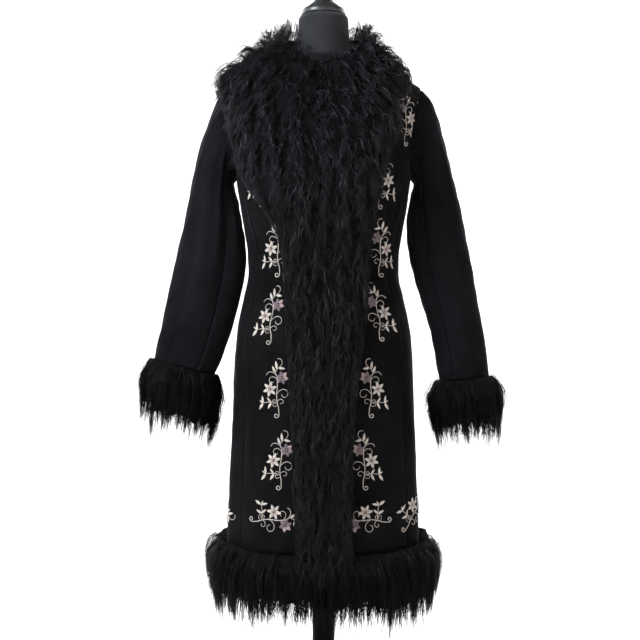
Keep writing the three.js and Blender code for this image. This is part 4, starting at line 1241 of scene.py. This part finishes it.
def hang_wool(node, place, said, locks, columns, seed, ring, side):
    rng = np.random.default_rng(seed)
    paths, outs = hang_locks(place, said, locks, rng, ring, side)
    strands = hairs(paths, outs, rng, 9, spread=0.0040, curl=0.0017, wavelength=0.030,
                    width=HAIR_WIDTH, gathered=0.60)
    fluff = hairs(paths[::3], outs[::3], rng, 3, spread=0.0110, curl=0.0036,
                  wavelength=0.024, width=0.0008, gathered=0.06)
    body = hang_body(place, said, columns, seed, ring, side)
    # The hem and cuffs take the darker copy of the wool, which is painted shade.
    wool_piece(node, body, np.concatenate([strands, fluff]), shaded_low_wool)


for name, side in SIDES:
    hang_wool(f"fur_hem_{name}", lambda share, s=side: hem_frame(s, share), HANGING["hem"],
              locks=760, columns=150, seed=31 + side, ring=False, side=side)
    hang_wool(f"fur_cuff_{name}", lambda share, n=name: cuff_frame(n, share), HANGING[name],
              locks=340, columns=90, seed=41 + side, ring=True, side=side)

# %% [markdown]
# ## Dress form and stand
#
# The form is a smooth padded shell under a knitted cover, without limbs, and its neck ends in a
# turned cap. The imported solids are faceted, so the form is drawn again from the same table with
# many more points, and the turned pieces get softened edges by cutting the corners of their
# profiles, as fine sandpaper would.

# %% Cover the form
FORM_ROOM = table("z room",
    (0.700, 0.0160), (0.860, 0.0130), (0.980, 0.0090), (1.120, 0.0060), (1.240, 0.0045),
    (1.300, 0.0043), (1.345, 0.0037), (1.380, 0.0036))
NECK = table("z half depth",
    (1.370, 0.0640, 0.0530), (1.383, 0.0610, 0.0520), (1.398, 0.0530, 0.0500),
    (1.416, 0.0495, 0.0485), (1.440, 0.0485, 0.0475), (1.458, 0.0480, 0.0470),
    (1.463, 0.0450, 0.0440))
FORM_BOTTOM, FORM_TOP, NECK_TOP = 0.705, 1.370, 1.463
ROUND_FROM, ROUND_IN, ROUND_HEIGHT = 0.716, 0.009, 0.011


def form_ring(z, angle):
    """The form's cover: inside the suede by the room it has, and oval at the neck."""
    rounded = ROUND_IN * smoothstep(ROUND_FROM - z, 0, ROUND_HEIGHT)
    room = curve(FORM_ROOM, "z", "room")(z) + SUEDE + rounded
    low = np.minimum(z, FORM_TOP)
    torso = body_point(angle, low) - body_normal(angle, low) * room[..., None]
    torso[..., 2] = np.where(z <= FORM_TOP, np.maximum(torso[..., 2], FORM_BOTTOM), z)
    turn = np.radians(angle)
    half, depth = [measure(z) for measure in curves(NECK, "z", "half depth")]
    neck = np.stack([half * np.cos(turn), NECK_Y + depth * np.sin(turn), z], -1)
    return mix(torso, neck, smoothstep(z, FORM_TOP, 1.386)[..., None])


def closed_rings(rings):
    """A body through rings of points, its ends closed by fans."""
    rows, columns = rings.shape[:2]
    ids, count = grid_ids(rings.shape, ring=True), rows * columns
    points = np.concatenate([rings.reshape(-1, 3), [rings[0].mean(0)], [rings[-1].mean(0)]])
    low = np.stack([ids[0, 1:], ids[0, :-1], np.full(columns, count)], -1)
    high = np.stack([ids[-1, :-1], ids[-1, 1:], np.full(columns, count + 1)], -1)
    return points, facing_out(points, [grid_faces(ids), low, high])


heights = np.concatenate([np.linspace(FORM_BOTTOM, 0.72, 5), np.linspace(0.732, 1.36, 40),
                          np.linspace(1.366, NECK_TOP, 26)])
angles = np.linspace(0, 360, 96, endpoint=False)
z_grid, angle_grid = np.meshgrid(heights, angles, indexing="ij")
points, faces = closed_rings(form_ring(z_grid, angle_grid))
make_piece("form_torso_cover", points, faces, [jersey], node="form_torso")

# %% Turn the cap, post and base
CAP_PROFILE = [
    (0, 0), (0.040, 0), (0.043, 0.003), (0.043, 0.010), (0.040, 0.0145), (0.033, 0.016),
    (0.031, 0.020), (0.024, 0.025), (0.018, 0.030), (0.017, 0.037), (0.019, 0.042),
    (0.024, 0.048), (0.0255, 0.056), (0.023, 0.065), (0.015, 0.072), (0, 0.075),
]
POST_PROFILE = [(0, 0), (0.0215, 0), (0.022, 0.002), (0.0202, 0.640), (0.020, 0.6802),
                (0, 0.6802)]
BASE_PROFILE = [(0, 0), (0.186, 0), (0.190, 0.004), (0.190, 0.015), (0.187, 0.019),
                (0.060, 0.024), (0, 0.024)]
CAP_Z, POST_Z = 1.4634, 0.0244


def soften(profile, times=2):
    """Cuts each corner of a profile but its ends, over at most a fifth of each side."""
    line = np.array(profile)
    for _ in range(times):
        step = np.diff(line, axis=0)
        share = np.minimum(0.2, 0.0012 / np.maximum(np.linalg.norm(step, axis=1), 1e-9))
        near = line[:-1] + step * share[:, None]
        far = line[1:] - step * share[:, None]
        middle = np.stack([near, far], 1).reshape(-1, 2)
        line = np.concatenate([line[:1], middle[1:-1], line[-1:]])
    return line


def turn_on_lathe(node, profile, z, material, points_round=96):
    line = soften(profile)[1:-1]
    turn = np.linspace(0, 2 * np.pi, points_round, endpoint=False)
    ring = np.stack([np.cos(turn), np.sin(turn)], -1)
    heights = np.broadcast_to(line[:, None, 1:] + z, (len(line), points_round, 1))
    points, faces = closed_rings(np.concatenate([line[:, None, :1] * ring[None], heights], -1))
    make_piece(f"{node}_turned", points, faces, [material], node=node)


turn_on_lathe("neck_cap", CAP_PROFILE, CAP_Z, paint)
# The post and base take the darker paint, which is painted shade under the coat.
turn_on_lathe("stand_post", POST_PROFILE, POST_Z, shaded_paint)
turn_on_lathe("stand_base", BASE_PROFILE, 0.0, shaded_paint)

# %% [markdown]
# ## Embroidery
#
# Each spray is stitched in thick cotton: a corded stem that curls at its foot, curled tendrils,
# leaves filled with close satin stitches, and two flowers. One spray is drawn flat, as a
# stitcher's chart, and then laid on the suede at each place. Its raised threads keep their
# height there, because a printed pattern would look dead from the side.

# %% Draw cords, tendrils and satin leaves
THREAD_LIFT = 0.0003
TWIST = 0.0026  # from one slanting bulge of a cord to the next


def tendril(x, y, heading, length, turn, power=1.6, step=0.0011):
    """A line that leaves a point and curls more and more tightly."""
    count = max(int(length / step), 6)
    s = np.linspace(0, 1, count)
    way = np.radians(heading + turn * s ** power)
    move = np.stack([np.cos(way), np.sin(way)], -1) * length / (count - 1)
    return np.array([x, y]) + np.concatenate([[[0, 0]], np.cumsum(move[:-1], 0)])


def through(stops, step=0.0011):
    """A smooth line through a few points."""
    stops = np.array(stops, float)
    at = np.arange(len(stops))
    reach = np.linalg.norm(np.diff(stops, axis=0), axis=1).sum()
    fine = np.linspace(0, len(stops) - 1, max(int(reach / step), 6))
    rows = [dict(at=i, x=p[0], y=p[1]) for i, p in zip(at, stops)]
    return np.stack([part(fine) for part in curves(rows, "at", "x y")], -1)


def cord(line, width, height):
    """A raised cord with the slanting bulges of stem stitch."""
    along = unit(np.gradient(line, axis=0))
    across = np.stack([-along[:, 1], along[:, 0]], -1)
    reach = run(line[:, None], 0)[:, 0]
    taper = np.minimum(1, 0.45 + np.minimum(reach, reach[-1] - reach) / 0.003)
    bulge = 1 + 0.10 * np.sin(2 * np.pi * reach / TWIST)
    points = [np.concatenate([line + across * (w * width * taper * bulge)[:, None],
                              (h * height * taper * bulge)[:, None]], -1)
              for w, h in ((-0.5, 0.0), (0.0, 1.0), (0.5, 0.0))]
    return np.stack(points, 1)


def satin(x, y, heading, length, width, height=0.0009, pitch=0.0012):
    """A leaf or petal filled with stitches that lie across it."""
    count = max(2 * int(length / pitch), 8)
    s = np.linspace(0, 1, count)
    way = np.radians(heading)
    along, across = np.array([np.cos(way), np.sin(way)]), np.array([-np.sin(way), np.cos(way)])
    half = width / 2 * np.sin(np.pi * s ** 0.85) ** 0.8
    rib = 1 + np.where(np.arange(count) % 2, 0.12, -0.12)
    points = []
    for w, h in ((-1.0, 0.0), (-0.6, 0.8), (0.0, 1.0), (0.6, 0.8), (1.0, 0.0)):
        flat = (np.array([x, y]) + along * (length * s)[:, None]
                + across * (half * w * (rib * 0.5 + 0.5))[:, None]
                - along * (0.12 * half * np.abs(w))[:, None])
        raised = height * h * rib * np.minimum(1, half / (0.2 * width) + 0.15)
        points.append(np.concatenate([flat, raised[:, None]], -1))
    return np.stack(points, 1)


# %% Chart one spray
STEM = [(0.0046, -0.046), (0.0036, -0.036), (0.0008, -0.026), (-0.0008, -0.012), (0.0008, 0.003),
        (0.0004, 0.016), (-0.0044, 0.028)]
SPRIG = [(-0.0044, 0.0275), (-0.0020, 0.033), (0.0020, 0.037)]
BRANCH = [(0.0006, -0.0270), (-0.0070, -0.0252), (-0.0170, -0.0258), (-0.0280, -0.0280)]
TENDRILS = table("x y heading length turn width",
    (0.0046, -0.045, -84, 0.027, -400, 0.0015),
    (-0.0006, -0.012, 60, 0.050, -340, 0.0011),
    (0.0010, -0.024, 48, 0.024, -290, 0.0010),
    (-0.0040, 0.026, 146, 0.022, 125, 0.0011),
    (0.0004, 0.015, 132, 0.035, 310, 0.0010),
    (0.0020, 0.037, 36, 0.027, 190, 0.0011),
    (0.0006, -0.031, 220, 0.019, -320, 0.0009),
    (-0.0010, -0.024, 130, 0.015, 300, 0.0009))
LEAVES = table("x y heading length width",
    (-0.0046, 0.029, 116, 0.013, 0.0048),
    (-0.0010, 0.035, 100, 0.015, 0.0050),
    (0.0024, 0.037, -6, 0.013, 0.0046),
    (-0.0120, -0.0256, 132, 0.011, 0.0038),
    (-0.0110, -0.0260, -118, 0.014, 0.0048),
    (-0.0272, -0.0280, 100, 0.014, 0.0044),
    (-0.0280, -0.0276, 146, 0.008, 0.0024),
    (-0.0274, -0.0284, -122, 0.014, 0.0052))
FLOWERS = table("x y reach turn width thread heart",
    (-0.0142, -0.002, 0.0142, 20, 0.0060, "cream", "blush"),
    (0.0098, 0.0195, 0.0124, 48, 0.0070, "mauve", "mauve"))
PETALS, PETAL_START = 6, 0.0022


def chart_spray():
    """Strips of raised stitches and the thread of each, in the spray's own flat frame."""
    made = [(cord(through(stops), width, height), "cream") for stops, width, height in
            ((STEM, 0.0015, 0.0010), (SPRIG, 0.0012, 0.0008), (BRANCH, 0.0011, 0.0008))]
    for row in TENDRILS:
        line = tendril(row["x"], row["y"], row["heading"], row["length"], row["turn"])
        made.append((cord(line, row["width"], 0.0009), "cream"))
    made += [(satin(**row), "cream") for row in LEAVES]
    for flower in FLOWERS:
        x, y, reach, thread = [flower[key] for key in ("x", "y", "reach", "thread")]
        for k in range(PETALS):
            way = flower["turn"] + 360 * k / PETALS
            turn = math.radians(way)
            start = (x + PETAL_START * math.cos(turn), y + PETAL_START * math.sin(turn))
            pale = thread == "mauve" and math.cos(turn) > 0.5
            petal = satin(*start, way, reach - 0.002, flower["width"], height=0.0010)
            inner = satin(*start, way, reach * 0.45, 0.0024, height=0.0016, pitch=0.0018)
            made += [(petal, "blush" if pale else thread), (inner, flower["heart"])]
        knot = tendril(x - 0.0010, y - 0.001, 0, 0.009, 600, power=1.0, step=0.0007)
        made.append((cord(knot, 0.0013, 0.0019), "blush"))
    return made


spray = chart_spray()
print("stitched shapes in a spray:", len(spray))


# %% Lay the sprays on the suede
ROUND = np.linspace(-90, 270, 1441)


def lay(points, place):
    """Moves a flat chart onto the body at a place, turned and mirrored as it says."""
    turn = math.radians(place["turn"])
    x, y = points[..., 0] * place["flip"], points[..., 1]
    x, y = x * math.cos(turn) - y * math.sin(turn), x * math.sin(turn) + y * math.cos(turn)
    section = body_point(ROUND, np.full(ROUND.shape, place["z"]))
    reach = run(section[:, None], 0)[:, 0]
    angle = np.interp(np.interp(place["angle"], ROUND, reach) + x, reach, ROUND)
    z = place["z"] + y
    own = np.where(np.cos(np.radians(angle)) >= 0, angle, 180 - angle)
    own = (own + 180) % 360 - 180
    lift = points[..., 2] + THREAD_LIFT + ease(body_point(angle, z)) + creases(own, z)
    return body_point(angle, z) + body_normal(angle, z) * lift[..., None]


def embroider(name, places):
    points, faces, slots, start = [], [], [], 0
    colours = list(threads)
    for place in places:
        for stitches, thread in spray:
            laid = lay(stitches, place)
            part = grid_faces(grid_ids(laid.shape, start=start))
            points.append(laid.reshape(-1, 3))
            faces.append(part if place["flip"] > 0 else part[:, ::-1])
            slots.append(np.full(len(part), colours.index(thread)))
            start += len(points[-1])
    make_piece(name, np.concatenate(points), faces, [*threads.values()], np.concatenate(slots))


SPRAYS = {
    "embroidery_right_front": table("angle z turn flip",
        (227.4, 1.142, -4, 1), (237.2, 1.013, -3, 1), (236.2, 0.888, -2, 1), (243.2, 0.754, 0, 1),
        (247.0, 0.623, -4, 1), (244.0, 0.514, -88, 1), (187.0, 0.512, -88, 1)),
    "embroidery_left_front": table("angle z turn flip",
        (-33.5, 1.259, 8, -1), (-52.0, 1.138, 2, -1), (-46.5, 1.013, 4, -1), (-53.8, 0.894, 3, -1),
        (-62.8, 0.754, 0, -1), (-68.5, 0.623, 2, -1), (-69.0, 0.514, 88, -1),
        (-24.0, 0.524, -48, 1)),
    "embroidery_round_hem": table("angle z turn flip",
        (24, 0.516, 88, -1), (71, 0.516, 88, -1), (115, 0.516, -88, 1), (153, 0.516, -88, 1)),
}
for name, places in SPRAYS.items():
    embroider(name, places)

# %% [markdown]
# ## Floor and light
#
# The photograph has no background, only white. A wide pale bowl stands in for it: a floor that
# curves up into a wall all the way round, so no edge shows from any side. One large soft light
# on the left does most of the work, as in the photograph, where the right sleeve is the
# lighter one. Weaker ones fill the other side and draw the wool's outline.

# %% Sweep the pale bowl
FLOOR_REACH, WALL_REACH, WALL_HEIGHT = 3.2, 4.6, 4.2
FLOOR_Z = -0.0005


def pale_bowl():
    turn = np.linspace(0, 2 * np.pi, 96, endpoint=False)
    rise = np.linspace(0, np.pi / 2, 13)
    bend = WALL_REACH - FLOOR_REACH
    line = [(0.02, 0.0), (1.2, 0.0)]
    line += [(FLOOR_REACH + bend * math.sin(a), bend * (1 - math.cos(a))) for a in rise]
    line.append((WALL_REACH, WALL_HEIGHT))
    rings = np.array([[(r * math.cos(a), r * math.sin(a), z + FLOOR_Z) for a in turn]
                      for r, z in line])
    ids = grid_ids(rings.shape, ring=True)
    return rings.reshape(-1, 3), [*grid_faces(ids).tolist(), ids[0, :-1].tolist()]


def stage_material():
    material = bpy.data.materials.new("pale_studio_paint")
    material.use_nodes = True
    tree = material.node_tree
    shader, noise = tree.nodes["Principled BSDF"], add_node(tree, "TexNoise", Scale=3.0)
    tone = add_node(tree, "MapRange", To_Min=0.86, To_Max=0.90)
    tree.links.new(noise.outputs["Fac"], tone.inputs["Value"])
    tree.links.new(tone.outputs[0], shader.inputs["Base Color"])
    set_inputs(shader, dict(Roughness=0.9, Specular_IOR_Level=0.1))
    return material


points, faces = pale_bowl()
bowl_mesh = bpy.data.meshes.new("studio_bowl")
bowl_mesh.from_pydata(points.tolist(), [], faces)
bowl_mesh.polygons.foreach_set("use_smooth", np.ones(len(bowl_mesh.polygons), bool))
bowl_mesh.materials.append(stage_material())
bowl = bpy.data.objects.new("studio_bowl", bowl_mesh)
bpy.context.scene.collection.objects.link(bowl)

# %% Light the coat
LIGHTS = table("name at aim size power tint",
    ("key_left", (-1.6, -1.3, 2.2), (0, 0, 1.35), 1.1, 82, (0.84, 0.91, 1.0)),
    ("fill_right", (2.5, -2.3, 1.9), (0, 0, 1.0), 2.0, 8, (1.0, 0.90, 0.84)),
    ("low_front", (-0.6, -2.9, 0.6), (0, 0, 0.6), 1.6, 8, (1.0, 0.74, 0.66)),
    ("rim_left", (-2.0, 2.2, 2.6), (0, 0, 1.0), 1.4, 28, (1, 1, 1)),
    ("rim_right", (2.0, 2.2, 2.6), (0, 0, 1.0), 1.4, 28, (1, 1, 1)),
    ("wall_left", (-2.1, 0.9, 1.9), (-0.5, 4.4, 1.0), 1.6, 100, (1, 1, 1)),
    ("wall_right", (2.1, 0.9, 1.9), (0.5, 4.4, 1.0), 1.6, 100, (1, 1, 1)))
for row in LIGHTS:
    data = bpy.data.lights.new(row["name"], "AREA")
    data.shape, data.size, data.energy = "DISK", row["size"], row["power"]
    data.color = row["tint"]
    lamp = bpy.data.objects.new(row["name"], data)
    lamp.location = row["at"]
    way = np.array(row["aim"]) - np.array(row["at"])
    lamp.rotation_euler = (math.acos(-way[2] / np.linalg.norm(way)), 0,
                           math.atan2(way[1], way[0]) - math.pi / 2)
    bpy.context.scene.collection.objects.link(lamp)

world = bpy.data.worlds.new("soft_sky")
world.use_nodes = True
set_inputs(world.node_tree.nodes["Background"], dict(Color=(1, 1, 1, 1), Strength=0.27))
bpy.context.scene.world = world
bpy.context.scene.view_settings.view_transform = "Standard"
print("lights:", [row["name"] for row in LIGHTS])
